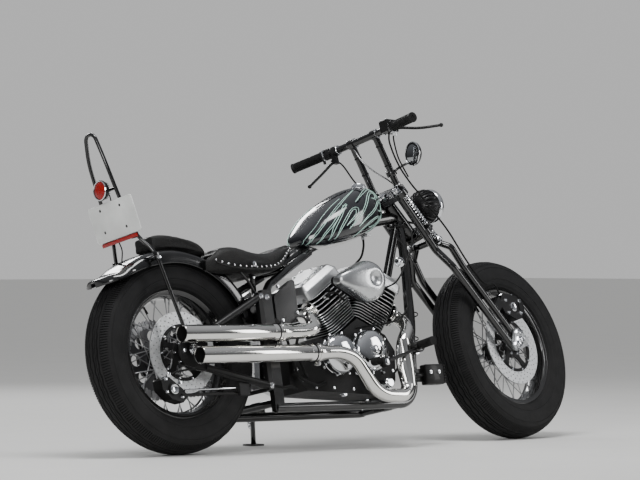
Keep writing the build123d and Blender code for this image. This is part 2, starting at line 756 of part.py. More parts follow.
def foot_controls():
    """Forward foot pegs on bent carriers bolted to the down tubes, each with its pedal arm and pad."""
    pegs = []
    for s in (-1, 1):
        start = s * (RAIL_Y + TUBE + SEAT_GAP)
        peg = rod((998, start, 312), (998, start + s * 12, 312), 14)
        peg += rod((998, start + s * 8, 312), (942, s * 198, 318), 9)
        peg += rod((938, s * 194, 312), (938, s * 222, 312), 19)
        peg += rod((938, s * 205, 316), (938, s * 284, 322), 12.5)
        peg += rod((930, s * 207, 305), (774, s * 207, 262), 6)
        peg += rod((774, s * 196, 262), (774, s * 218, 262), 16)
        peg += rod((774, s * 207, 262), (730, s * 207, 265), 5)
        peg += rod((730, s * 196, 265), (730, s * 226, 265), 13)
        pegs.append(peg)
    return Compound(pegs)


def regulator():
    """A flat finned box in front of the right down tube, on its bracket."""
    outside = -RAIL_Y - TUBE - SEAT_GAP
    whole = block(972, 1026, outside - 8, outside, 200, 248)
    whole += block(1016, 1110, -152, -118, 189, 261)
    return whole - [block(1024, 1102, -153, -147, z, z + 5) for z in (198, 210, 222, 234, 246)]


def rear_caliper():
    """The rear caliper astride the disc, with its torque rod to the lug on the rear arm."""
    outline = [(-128, 236), (-100, 250), (-40, 205), (-22, 180), (-45, 160), (-90, 172), (-125, 205)]
    body = side_plate(outline, -96, -50)
    body += axle_disc(Vector(-80, 0, 205), -100, -96, 20)
    slot = axle_disc(REAR_AXLE, REAR_DISC_Y - 4, REAR_DISC_Y + 4, REAR_DISC_RADIUS + 3)
    arm = rod((-52, -99, 184), (205, -99, 187), 5)
    bolt = axle_disc(Vector(205, 0, 187), -106 + SEAT_GAP, -92, 9)
    return body - slot + arm + bolt


# Fork

def fork_rear_legs():
    """The rigid rear legs with the lower crown, the upper tree, its nuts and the steering stem."""
    kink = TREE_HEIGHT - 311
    body = rod(fork_point(CROWN_HEIGHT + 7, 0, 0), fork_point(TREE_HEIGHT + 4, 0, 0), STEM_RADIUS)
    crown = [(0, 0, 34)]
    tree = [(0, -12, 24)]
    for s in (-1, 1):
        crown += [(s * CROWN_Y, CROWN_SET, 20), (s * SPRING_Y, SPRING_SET, 17)]
        tree += [(s * (CROWN_Y + 12), CROWN_SET, 26), (s * RISER_Y, RISER_SET, 18)]
    body += fork_plate(crown, CROWN_HEIGHT, CROWN_THICK)
    body += fork_plate(tree, TREE_HEIGHT, CROWN_THICK)
    crown_top = CROWN_HEIGHT + CROWN_THICK
    for s in (-1, 1):
        body += bent_tube(
            [
                fork_point(-10, REAR_LEG_SET, s * LEG_Y),
                fork_point(kink, REAR_LEG_SET, s * LEG_Y),
                fork_point(kink + 75, CROWN_SET - 16, s * CROWN_Y),
                fork_point(TREE_TOP - 2, CROWN_SET, s * CROWN_Y),
            ],
            [45, 45],
            LEG_RADIUS,
        )
        seat_at = fork_point(crown_top, SPRING_SET, s * SPRING_Y)
        body += rod(seat_at, fork_point(crown_top + 9, SPRING_SET, s * SPRING_Y), 15)
        body -= rod(
            fork_point(CROWN_HEIGHT - 5, SPRING_SET, s * SPRING_Y),
            fork_point(crown_top + 15, SPRING_SET, s * SPRING_Y),
            5 + SEAT_GAP,
        )
    for y, ahead, size in ((-CROWN_Y, CROWN_SET, 14), (CROWN_Y, CROWN_SET, 14), (0, 0, 18)):
        nut = Plane(origin=fork_point(TREE_TOP, ahead, y), x_dir=(0, 1, 0), z_dir=STEER_UP)
        body += nut * extrude(RegularPolygon(size, 6), 13)
    return body


def fork_spring_legs():
    """The spring legs, bent in at the top to a cross bar that carries the springs' rods and seats."""
    bar = CROWN_HEIGHT - YOKE_DROP
    body = rod(fork_point(bar, SPRING_SET, -66), fork_point(bar, SPRING_SET, 66), 12)
    for s in (-1, 1):
        route = [
            fork_point(22, SPRING_LEG_SET, s * LEG_Y),
            fork_point(bar - 129, SPRING_LEG_SET, s * LEG_Y),
            fork_point(bar - 46, SPRING_SET, s * (LEG_Y - 7)),
            fork_point(bar, SPRING_SET, s * 40),
        ]
        body += bent_tube(route, [120, 24], LEG_RADIUS - 1.5)
        top = TREE_HEIGHT - 6
        for low, high, size in ((bar, bar + 14, 14), (bar, top, 5), (top - 22, top, 13)):
            start = fork_point(low, SPRING_SET, s * SPRING_Y)
            body += rod(start, fork_point(high, SPRING_SET, s * SPRING_Y), size)
    return body


def fork_springs():
    """Four coil springs round the rods, two below the crown and two above it."""
    bar = CROWN_HEIGHT - YOKE_DROP
    ends = SEAT_GAP + WIRE_RADIUS
    coils = []
    for s in (-1, 1):
        for low, high, turns in (
            (bar + 14 + ends, CROWN_HEIGHT - ends, 3),
            (CROWN_HEIGHT + CROWN_THICK + 9 + ends, TREE_HEIGHT - 28 - ends, 9),
        ):
            line = Helix((high - low) / turns, high - low, SPRING_RADIUS)
            wire = Plane(origin=line @ 0, z_dir=line % 0) * RegularPolygon(WIRE_RADIUS, 6)
            place = Plane(origin=fork_point(low, SPRING_SET, s * SPRING_Y), x_dir=(0, 1, 0), z_dir=STEER_UP)
            coils.append(place * sweep(wire, path=line))
    return Compound(coils)


def rockers():
    """The two rockers that join the legs at the bottom, with the front axle and the pivot bolts."""
    rear = Vector(*fork_point(2, REAR_LEG_SET, 0))
    spring = Vector(*fork_point(22, SPRING_LEG_SET, 0))
    whole = axle_disc(FRONT_AXLE, -FRONT_AXLE_HALF, FRONT_AXLE_HALF, AXLE_RADIUS)
    inner = LEG_Y + LEG_RADIUS + SEAT_GAP
    outer = inner + ROCKER_THICK
    for s in (-1, 1):
        circles = [(rear.X, rear.Z, 19), (spring.X, spring.Z, 19), (FRONT_AXLE.X, FRONT_AXLE.Z, 20)]
        whole += link_plate(circles, *sorted((s * inner, s * outer)))
        face = (FRONT_AXLE.X, s * outer, FRONT_AXLE.Z)
        whole += cone_rod(face, (FRONT_AXLE.X, s * (outer + 10), FRONT_AXLE.Z), 18, 12)
        for at in (rear, spring):
            whole += axle_disc(at, *sorted((s * outer, s * (outer + 6))), 10)
    return whole


def front_caliper():
    """The front caliper astride the disc, on a lug beside the spring leg."""
    offsets = [(-70, 140), (-52, 178), (-20, 182), (33, 175), (68, 150)]
    offsets += [(60, 110), (38, 90), (8, 87), (-52, 110)]
    body = side_plate([(FRONT_AXLE.X + x, FRONT_AXLE.Z + z) for x, z in offsets], -98, -42)
    face = link_plate([(FRONT_AXLE.X + 50, FRONT_AXLE.Z + z, 13) for z in (122, 146)], -101, -98)
    lug = fork_block(122, 156, SPRING_LEG_SET + LEG_RADIUS - 1.5 + SEAT_GAP, 78, -98, -84)
    slot = axle_disc(FRONT_AXLE, FRONT_DISC_Y - 4, FRONT_DISC_Y + 4, FRONT_DISC_RADIUS + 3)
    return body + face + lug - slot


def headlight():
    """A small round lamp with a ribbed, domed shell on a short stalk from the lower crown."""
    rim = Vector(*fork_point(CROWN_HEIGHT + LAMP_RISE, LAMP_SET, 0))
    place = Plane(origin=rim, x_dir=(1, 0, 0), z_dir=(0, -1, 0))
    profile = [(-82, 0), (-80, 16), (-72, 34), (-58, 50), (-40, 58), (-16, LAMP_RADIUS)]
    profile += [(-16, LAMP_RADIUS + 4), (6, LAMP_RADIUS + 4), (6, LAMP_RADIUS - 3), (12, 40), (15, 0)]
    shell = revolve(place * make_face(Polyline(*profile, close=True)), Axis(rim, (1, 0, 0)), 360)
    grooves = []
    for n in range(LAMP_RIBS):
        spin = Rot(360 * n / LAMP_RIBS, 0, 0)
        grooves.append(Pos(rim) * spin * Pos(-40, 0, LAMP_RADIUS + 1) * Box(42, 5, 9))
    foot = fork_point(CROWN_HEIGHT + 10, SPRING_SET + 17 + SEAT_GAP, 0)
    bend = fork_point(CROWN_HEIGHT + 10, SPRING_SET + 40, 0)
    return shell - grooves + bent_tube([foot, bend, (rim.X - 42, 0, rim.Z - 52)], [14], 10)


def bar_point(y):
    """The centre of the bar at y, on the straight part outside its bend."""
    share = (abs(y) - BAR_BEND_Y) / (GRIP_Y - BAR_BEND_Y)
    rise = BAR_RISE + (GRIP_RISE - BAR_RISE) * share
    ahead = BAR_SET + (GRIP_SET - BAR_SET) * share
    return Vector(*fork_point(TREE_HEIGHT + rise, ahead, y))


def bar_sleeve(y0, y1, radius):
    """A round sleeve on the straight part of the bar."""
    first = bar_point(y0)
    last = bar_point(y1)
    along = (last - first).normalized()
    return rod(first, last, radius) - rod(first - along, last + along, BAR_RADIUS + SHAFT_GAP)


def handlebar():
    """A nearly straight bar on two straight risers that stand on the upper tree."""
    points = [bar_point(y) for y in (GRIP_Y, BAR_BEND_Y, -BAR_BEND_Y, -GRIP_Y)]
    bar = bent_tube(points, [150, 150], BAR_RADIUS)
    foot = TREE_TOP + SEAT_GAP
    top = TREE_HEIGHT + BAR_RISE
    for s in (-1, 1):
        riser = [
            fork_point(foot, RISER_SET, s * RISER_Y),
            fork_point(foot + 14, RISER_SET, s * RISER_Y),
            fork_point(top, BAR_SET, s * RISER_Y),
        ]
        bar += bent_tube(riser, even_radii(riser), RISER_RADIUS)
        bar += rod(fork_point(top, BAR_SET, s * 42), fork_point(top, BAR_SET, s * 66), 17)
    return bar


def grips():
    """Rubber grips with closed ends and a raised ring at the inner end, on both ends of the bar."""
    made = []
    for s in (-1, 1):
        end = bar_point(s * GRIP_Y)
        along = (bar_point(s * BAR_BEND_Y) - end).normalized()
        sleeve = rod(end - along * 9, end + along * (GRIP_LENGTH - 9), 17)
        sleeve += rod(end + along * (GRIP_LENGTH - 15), end + along * (GRIP_LENGTH - 9), 21)
        sleeve -= rod(end - along * SEAT_GAP, end + along * GRIP_LENGTH, BAR_RADIUS + SHAFT_GAP)
        made.append(sleeve)
    return Compound(made)


def hand_controls():
    """Throttle housing and brake cylinder on the right, switch housing and lever clamp on the left."""
    throttle = bar_sleeve(-160, -174, 21)
    pump = block(984, 1044, -147, -112, 1082, 1118) + block(988, 1040, -149, -110, 1118, 1124)
    pump -= rod(bar_point(-100), bar_point(-160), BAR_RADIUS + SHAFT_GAP)
    switch = bar_sleeve(140, 172, 20)
    clamp = bar_sleeve(116, 131, 19)
    lug = block(988, 1012, 118, 131, 1048, 1086)
    clamp += lug - rod(bar_point(100), bar_point(140), BAR_RADIUS + SHAFT_GAP)
    return Compound([throttle, pump, switch, clamp])


def levers():
    """The brake lever on the right and the clutch lever on the left, each with a ball end."""
    right = [(1034, -147 - 1.5, 1092), (1037, -168, 1088), (1062, -225, 1068), (1100, -292, 1060)]
    left = [(1000, 131 + 1.3, 1058), (1001, 150, 1054), (1012, 200, 1040), (1033, 290, 1020)]
    made = []
    for route in (right, left):
        made.append(bent_tube(route, even_radii(route), 5) + Pos(*route[-1]) * Sphere(7.5))
    return Compound(made)


def brake_hose():
    """The front brake line: from its cylinder past the lamp and beside the right legs to the caliper."""
    route = [
        (1010, -128, 1082 - 1.2),
        fork_point(886, 66, -125),
        fork_point(835, 58, -112),
        fork_point(767, 66, -92),
        fork_point(681, 98, -66),
        fork_point(622, 110, -62),
        fork_point(560, 84, -84),
        fork_point(480, 64, -102),
        fork_point(345, 46, -100),
        fork_point(235, 50, -98),
        (1487, -88, 556),
        (FRONT_AXLE.X - 36, -80, FRONT_AXLE.Z + 181.7),
    ]
    return bent_tube(route, even_radii(route), HOSE_RADIUS)


def mirror():
    """A round mirror on a bent arm from a collar on the right riser."""
    low = Vector(*fork_point(TREE_TOP + SEAT_GAP + 14, RISER_SET, -RISER_Y))
    high = Vector(*fork_point(TREE_HEIGHT + BAR_RISE, BAR_SET, -RISER_Y))
    along = (high - low).normalized()
    at = low + along * 32
    whole = rod(at - along * 12, at + along * 12, 20)
    glass = Vector(*fork_point(TREE_HEIGHT + 78, 142, -117))
    face = Vector(-0.958, 0.286, 0.05).normalized()
    back = glass - face * 24
    route = [at + Vector(10, -6, 6), at + Vector(36, -30, 20), back - face * 20, back]
    whole += bent_tube(route, even_radii(route), 5)
    whole -= rod(at - along * 30, at + along * 30, RISER_RADIUS + SEAT_GAP)
    return whole + rod(glass, glass - face * 12, 41) + cone_rod(glass - face * 12, glass - face * 25, 41, 20)


# Side stand

STAND_PIVOT = Vector(455, 146, 150)
STAND_FOOT = Vector(540, 255, 0)
STAND_DROP = -6.5
STAND_RADIUS = 12.0


def ground_height(y):
    """Height of the floor in the upright drawing, at a place y beside the machine."""
    return y * tan(radians(LEAN))


def stand_axis():
    """The direction that the side stand folds about."""
    return Vector(0.17, 0.60, 0.78).normalized()


def side_stand():
    """The leg with its foot plate, on a round pivot lined up with the folding axis."""
    foot = Vector(STAND_FOOT.X, STAND_FOOT.Y, ground_height(STAND_FOOT.Y) + 10)
    axis = stand_axis()
    rim = STAND_RADIUS * sqrt(1 - axis.Y ** 2)
    reach = (STAND_PIVOT.Y - RAIL_Y - TUBE - SEAT_GAP - rim) / axis.Y
    leg = rod(STAND_PIVOT, foot, 9)
    leg += rod(STAND_PIVOT - axis * reach, STAND_PIVOT + axis * STAND_RADIUS, STAND_RADIUS)
    pad = Pos(foot.X, foot.Y, foot.Z) * Rot(LEAN, -PITCH, 0) * Pos(0, 0, STAND_DROP) * Box(60, 44, 6)
    return leg + pad


# Placing: steering, lean and origin

def tyre_drop(axle, spin):
    """How far below the leaning machine's zero a tyre reaches, from its axle point and its spin axis."""
    axle = axle.rotate(Axis.X, -LEAN)
    spin = spin.rotate(Axis.X, -LEAN)
    ring = WHEEL_RADIUS - TYRE_CROWN
    return axle.Z - ring * sqrt(1 - spin.Z ** 2) - TYRE_CROWN, axle.X


def steered(shape):
    return shape.rotate(Axis(STEER_POINT, STEER_UP), STEER_LEFT)


def steer_vector(vector):
    """A direction turned with the steering."""
    a = radians(STEER_LEFT)
    k = STEER_UP
    return vector * cos(a) + k.cross(vector) * sin(a) + k * k.dot(vector) * (1 - cos(a))


def steered_point(point):
    return STEER_POINT + steer_vector(point - STEER_POINT)


def floor_fit():
    """The small pitch and lift that set both leaning tyres on the floor."""
    rear, rear_x = tyre_drop(REAR_AXLE, Vector(0, 1, 0))
    front, front_x = tyre_drop(steered_point(FRONT_AXLE), steer_vector(Vector(0, 1, 0)))
    pitch = degrees(atan2(front - rear, front_x - rear_x))
    return pitch, -rear


PITCH, LIFT = floor_fit()


def at_rest(shape, turn):
    """A drawn shape steered where it turns with the fork, and leaning."""
    if turn:
        shape = steered(shape)
    return shape.rotate(Axis.X, -LEAN).rotate(Axis.Y, PITCH)


def footprint_middle():
    """The middle of the machine's footprint, from the pieces that reach furthest."""
    reach = [at_rest(shape, True).bounding_box() for shape in (tyre(FRONT_AXLE), grips())]
    reach += [at_rest(shape, False).bounding_box() for shape in (tyre(REAR_AXLE), foot_controls())]
    x = (min(box.min.X for box in reach) + max(box.max.X for box in reach)) / 2
    y = (min(box.min.Y for box in reach) + max(box.max.Y for box in reach)) / 2
    return x, y


ORIGIN_X, ORIGIN_Y = footprint_middle()


def placed(shape, turn):
    """A drawn shape at its place: on the floor, with the origin in the middle of the footprint."""
    return Pos(-ORIGIN_X, -ORIGIN_Y, LIFT) * at_rest(shape, turn)


BODIES = {
    "frame": {
        "frame": frame,
        "swing_arm": swing_arm,
        "tank": tank,
        "filler_cap": filler_cap,
        "seat": seat,
        "seat_bracket": seat_bracket,
        "side_panel": side_panel,
        "rear_fender": rear_fender,
        "sissy_bar": sissy_bar,
        "pillion_pad": pillion_pad,
        "number_plate": number_plate,
        "tail_lamp": tail_lamp,
        "reflector_bar": reflector_bar,
        "crankcase": crankcase,
        "round_covers": round_covers,
        "oil_filter": oil_filter,
        "cylinder_rear": lambda: cylinder(-REAR_TILT),
        "cylinder_front": lambda: cylinder(FRONT_TILT),
        "rocker_cover_rear": lambda: rocker_cover(-REAR_TILT),
        "rocker_cover_front": lambda: rocker_cover(FRONT_TILT),
        "carburettor": carburettor,
        "air_cleaner": air_cleaner,
        "drive_cover": drive_cover,
        "drive_chain": drive_chain,
        "exhaust_upper": exhaust_upper,
        "exhaust_lower": exhaust_lower,
        "foot_controls": foot_controls,
        "regulator": regulator,
        "rear_caliper": rear_caliper,
    },
    "steering": {
        "fork_rear_legs": fork_rear_legs,
        "fork_spring_legs": fork_spring_legs,
        "fork_springs": fork_springs,
        "rockers": rockers,
        "front_caliper": front_caliper,
        "headlight": headlight,
        "handlebar": handlebar,
        "grips": grips,
        "hand_controls": hand_controls,
        "levers": levers,
        "brake_hose": brake_hose,
        "mirror": mirror,
    },
    "front_wheel": {
        "front_tyre": lambda: tyre(FRONT_AXLE),
        "front_rim": lambda: rim(FRONT_AXLE),
        "front_spokes": lambda: spokes(FRONT_AXLE, -FRONT_FLANGE_Y, FRONT_FLANGE_Y),
        "front_disc": lambda: brake_disc(FRONT_AXLE, FRONT_DISC_Y, FRONT_DISC_RADIUS, 5),
    },
    "rear_wheel": {
        "rear_tyre": lambda: tyre(REAR_AXLE),
        "rear_rim": lambda: rim(REAR_AXLE),
        "rear_spokes": lambda: spokes(REAR_AXLE, -REAR_FLANGE_Y, REAR_FLANGE_Y),
        "rear_disc": lambda: brake_disc(REAR_AXLE, REAR_DISC_Y, REAR_DISC_RADIUS, 5),
        "rear_sprocket": rear_sprocket,
    },
    "side_stand": {
        "side_stand": side_stand,
    },
}


def build():
    made = {}
    for body, nodes in BODIES.items():
        for name, make in nodes.items():
            made[name] = placed(make(), body in ("steering", "front_wheel"))
    return made


def main():
    os.makedirs("parts", exist_ok=True)
    made = build()
    for name, shape in made.items():
        export_step(shape, f"parts/{name}.step")


if __name__ == "__main__":
    main()
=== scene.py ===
"""Looks of a bobbed twin-cylinder motorcycle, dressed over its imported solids."""
import logging
import math
from dataclasses import dataclass, field
from enum import Enum
from typing import Iterable, Sequence

import bmesh
import bpy
import numpy as np
from mathutils import Matrix, Vector


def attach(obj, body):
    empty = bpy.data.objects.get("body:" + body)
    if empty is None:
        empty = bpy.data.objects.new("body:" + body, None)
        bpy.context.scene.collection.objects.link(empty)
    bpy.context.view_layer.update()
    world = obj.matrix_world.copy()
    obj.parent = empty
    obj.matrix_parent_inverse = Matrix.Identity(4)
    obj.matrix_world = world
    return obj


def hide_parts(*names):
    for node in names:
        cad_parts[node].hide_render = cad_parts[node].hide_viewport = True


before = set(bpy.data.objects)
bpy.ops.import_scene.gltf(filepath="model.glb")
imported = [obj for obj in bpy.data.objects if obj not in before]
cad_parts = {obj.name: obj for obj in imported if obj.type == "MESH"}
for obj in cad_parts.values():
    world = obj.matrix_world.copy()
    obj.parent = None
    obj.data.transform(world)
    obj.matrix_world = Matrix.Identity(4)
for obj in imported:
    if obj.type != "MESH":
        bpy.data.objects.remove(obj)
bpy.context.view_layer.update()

LOG = logging.getLogger("chopper")
Point = tuple[float, float, float]
Colour = tuple[float, float, float, float]


# Sizes of the drawing, in millimetres and degrees


AXLE = 330.0  # height of both axles in the drawing
FRONT_AXLE = 1552.0  # how far ahead of the rear axle the front one is
CRANK = (795.0, 310.0)  # the crank's x and z
REAR_TILT, FRONT_TILT = -31.0, 26.0  # how far each cylinder leans forward, in degrees
RISER_FOOT, RISER_TOP = (730.0, 44.0), (911.0, 112.0)  # the risers' ends, above the axle line and ahead of the axis
SPRING_Y = 54.0  # how far to each side the risers and the spring legs stand
ROCKER_BOLTS = ((2, -30), (22, 17))  # where the fork's two pairs of legs meet the rockers
DOMES = ((653, 308, 68, -146), (803, 317, 72, -140))  # x, z, radius and outer y of the two round covers


class Body(Enum):
    """The moving bodies that pieces ride on."""

    FRAME = "frame"
    STEERING = "steering"
    FRONT_WHEEL = "front_wheel"
    REAR_WHEEL = "rear_wheel"
    SIDE_STAND = "side_stand"


@dataclass(frozen=True)
class Stance:
    """How the upright drawing, in millimetres, is set down in the shared frame.

    The drawing has x forward from the rear axle, y left and z up, with the steering straight.
    """

    lean: float = 10.95
    pitch: float = 0.21497
    lift: float = 1.675
    middle: tuple[float, float] = (775.8386, 138.7846)
    steer: float = 10.65
    rake: float = 40.0
    pivot: Point = (1522.0, 0.0, AXLE)

    def fixed(self) -> Matrix:
        """The matrix from the drawing to the shared frame for what doesn't steer.

        Returns:
            The matrix.
        """
        return (
            Matrix.Scale(0.001, 4)
            @ Matrix.Translation((-self.middle[0], -self.middle[1], self.lift))
            @ Matrix.Rotation(math.radians(self.pitch), 4, "Y")
            @ Matrix.Rotation(math.radians(-self.lean), 4, "X")
        )

    def steered(self) -> Matrix:
        """The matrix from the drawing to the shared frame for what turns with the fork.

        Returns:
            The matrix.
        """
        a = math.radians(self.rake)
        turn = Matrix.Rotation(math.radians(self.steer), 4, Vector((-math.sin(a), 0, math.cos(a))))
        out = Matrix.Translation(self.pivot)
        return self.fixed() @ out @ turn @ out.inverted()

    def of(self, body: Body) -> Matrix:
        """The matrix that pieces of a body are placed by."""
        return self.steered() if body in (Body.STEERING, Body.FRONT_WHEEL) else self.fixed()

    def fork(self, height: float, ahead: float, y: float = 0.0) -> Point:
        """A place in the drawing beside the steering axis.

        Args:
            height: distance along the axis above the axle line.
            ahead: distance forward of the axis.
            y: distance to the left.

        Returns:
            The drawing's x, y and z.
        """
        a = math.radians(self.rake)
        x = self.pivot[0] - math.sin(a) * height + math.cos(a) * ahead
        return (x, y, self.pivot[2] + math.cos(a) * height + math.sin(a) * ahead)


STANCE = Stance()


def deck(tilt: float, along: float, height: float) -> tuple[float, float]:
    """A place beside a cylinder's axis in the drawing.

    Args:
        tilt: how far the cylinder leans forward, in degrees.
        along: distance along the deck, forward.
        height: distance above the crank.

    Returns:
        The drawing's x and z.
    """
    a = math.radians(tilt)
    x = CRANK[0] + height * math.sin(a) + along * math.cos(a)
    return (x, CRANK[1] + height * math.cos(a) - along * math.sin(a))


# Finishes


def shade(colour: Colour, by: float) -> Colour:
    """The colour made lighter or darker by a factor."""
    return tuple(by * c for c in colour[:3]) + (1.0,)


class Groups:
    """Shader effects that several finishes share, each built once as a node group."""

    made: dict[str, bpy.types.NodeTree] = {}

    @classmethod
    def new(
        cls, name: str, takes: Sequence[tuple[str, str, float]], gives: Sequence[tuple[str, str]]
    ) -> tuple[bpy.types.NodeTree, bpy.types.Node, bpy.types.Node]:
        """Starts a shader group.

        Args:
            name: the group's name.
            takes: inputs as name, socket type and default (vectors take no default).
            gives: outputs as name and socket type.

        Returns:
            The tree, its input node and its output node.
        """
        tree = bpy.data.node_groups.new(name, "ShaderNodeTree")
        for label, kind, value in takes:
            socket = tree.interface.new_socket(label, in_out="INPUT", socket_type=kind)
            if kind == "NodeSocketFloat":
                socket.default_value = value
        for label, kind in gives:
            tree.interface.new_socket(label, in_out="OUTPUT", socket_type=kind)
        cls.made[name] = tree
        return tree, tree.nodes.new("NodeGroupInput"), tree.nodes.new("NodeGroupOutput")

    @classmethod
    def mottle(cls) -> bpy.types.NodeTree:
        """Soft uneven patches and fine specks, as handled metal and paint have.

        Returns:
            The shader group.
        """
        if "mottle" in cls.made:
            return cls.made["mottle"]
        tree, take, give = cls.new(
            "mottle",
            [("Vector", "NodeSocketVector", 0), ("Scale", "NodeSocketFloat", 12), ("Fine", "NodeSocketFloat", 240)],
            [("Patch", "NodeSocketFloat"), ("Speck", "NodeSocketFloat")],
        )
        for label, size, output in (("Scale", 4.0, "Patch"), ("Fine", 2.0, "Speck")):
            noise = tree.nodes.new("ShaderNodeTexNoise")
            noise.inputs["Detail"].default_value = size
            tree.links.new(take.outputs["Vector"], noise.inputs["Vector"])
            tree.links.new(take.outputs[label], noise.inputs["Scale"])
            spread = tree.nodes.new("ShaderNodeMapRange")
            spread.inputs["From Min"].default_value = 0.32
            spread.inputs["From Max"].default_value = 0.68
            tree.links.new(noise.outputs["Fac"], spread.inputs["Value"])
            tree.links.new(spread.outputs["Result"], give.inputs[output])
        return tree

    @classmethod
    def road_dust(cls) -> bpy.types.NodeTree:
        """Dust that is thickest near the ground and breaks up higher on the machine.

        Returns:
            The shader group.
        """
        if "road_dust" in cls.made:
            return cls.made["road_dust"]
        tree, take, give = cls.new(
            "road_dust",
            [("Vector", "NodeSocketVector", 0), ("Reach", "NodeSocketFloat", 0.45), ("Amount", "NodeSocketFloat", 0.5)],
            [("Mask", "NodeSocketFloat")],
        )
        split = tree.nodes.new("ShaderNodeSeparateXYZ")
        fall = tree.nodes.new("ShaderNodeMath")
        fall.operation = "DIVIDE"
        ease = tree.nodes.new("ShaderNodeMapRange")
        ease.inputs["From Min"].default_value = 1.0
        ease.inputs["From Max"].default_value = 0.0
        noise = tree.nodes.new("ShaderNodeTexNoise")
        noise.inputs["Scale"].default_value = 34
        noise.inputs["Detail"].default_value = 6
        mix = tree.nodes.new("ShaderNodeMath")
        mix.operation = "MULTIPLY"
        amount = tree.nodes.new("ShaderNodeMath")
        amount.operation = "MULTIPLY"
        tree.links.new(take.outputs["Vector"], split.inputs[0])
        tree.links.new(split.outputs["Z"], fall.inputs[0])
        tree.links.new(take.outputs["Reach"], fall.inputs[1])
        tree.links.new(fall.outputs[0], ease.inputs["Value"])
        tree.links.new(take.outputs["Vector"], noise.inputs["Vector"])
        tree.links.new(ease.outputs["Result"], mix.inputs[0])
        tree.links.new(noise.outputs["Fac"], mix.inputs[1])
        tree.links.new(mix.outputs[0], amount.inputs[0])
        tree.links.new(take.outputs["Amount"], amount.inputs[1])
        tree.links.new(amount.outputs[0], give.inputs["Mask"])
        return tree

    @classmethod
    def hide_grain(cls) -> bpy.types.NodeTree:
        """The pebbled surface of leather: a height and a mask of the creases between pebbles.

        Returns:
            The shader group.
        """
        if "hide_grain" in cls.made:
            return cls.made["hide_grain"]
        tree, take, give = cls.new(
            "hide_grain",
            [("Vector", "NodeSocketVector", 0), ("Scale", "NodeSocketFloat", 420)],
            [("Height", "NodeSocketFloat"), ("Crease", "NodeSocketFloat")],
        )
        cells = tree.nodes.new("ShaderNodeTexVoronoi")
        cells.feature = "DISTANCE_TO_EDGE"
        noise = tree.nodes.new("ShaderNodeTexNoise")
        noise.inputs["Scale"].default_value = 46
        noise.inputs["Detail"].default_value = 5
        crease = tree.nodes.new("ShaderNodeMapRange")
        crease.inputs["From Max"].default_value = 0.18
        crease.inputs["To Min"].default_value = 1.0
        crease.inputs["To Max"].default_value = 0.0
        add = tree.nodes.new("ShaderNodeMath")
        add.operation = "SUBTRACT"
        tree.links.new(take.outputs["Vector"], cells.inputs["Vector"])
        tree.links.new(take.outputs["Scale"], cells.inputs["Scale"])
        tree.links.new(take.outputs["Vector"], noise.inputs["Vector"])
        tree.links.new(cells.outputs["Distance"], crease.inputs["Value"])
        tree.links.new(noise.outputs["Fac"], add.inputs[0])
        tree.links.new(crease.outputs["Result"], add.inputs[1])
        tree.links.new(add.outputs[0], give.inputs["Height"])
        tree.links.new(crease.outputs["Result"], give.inputs["Crease"])
        return tree


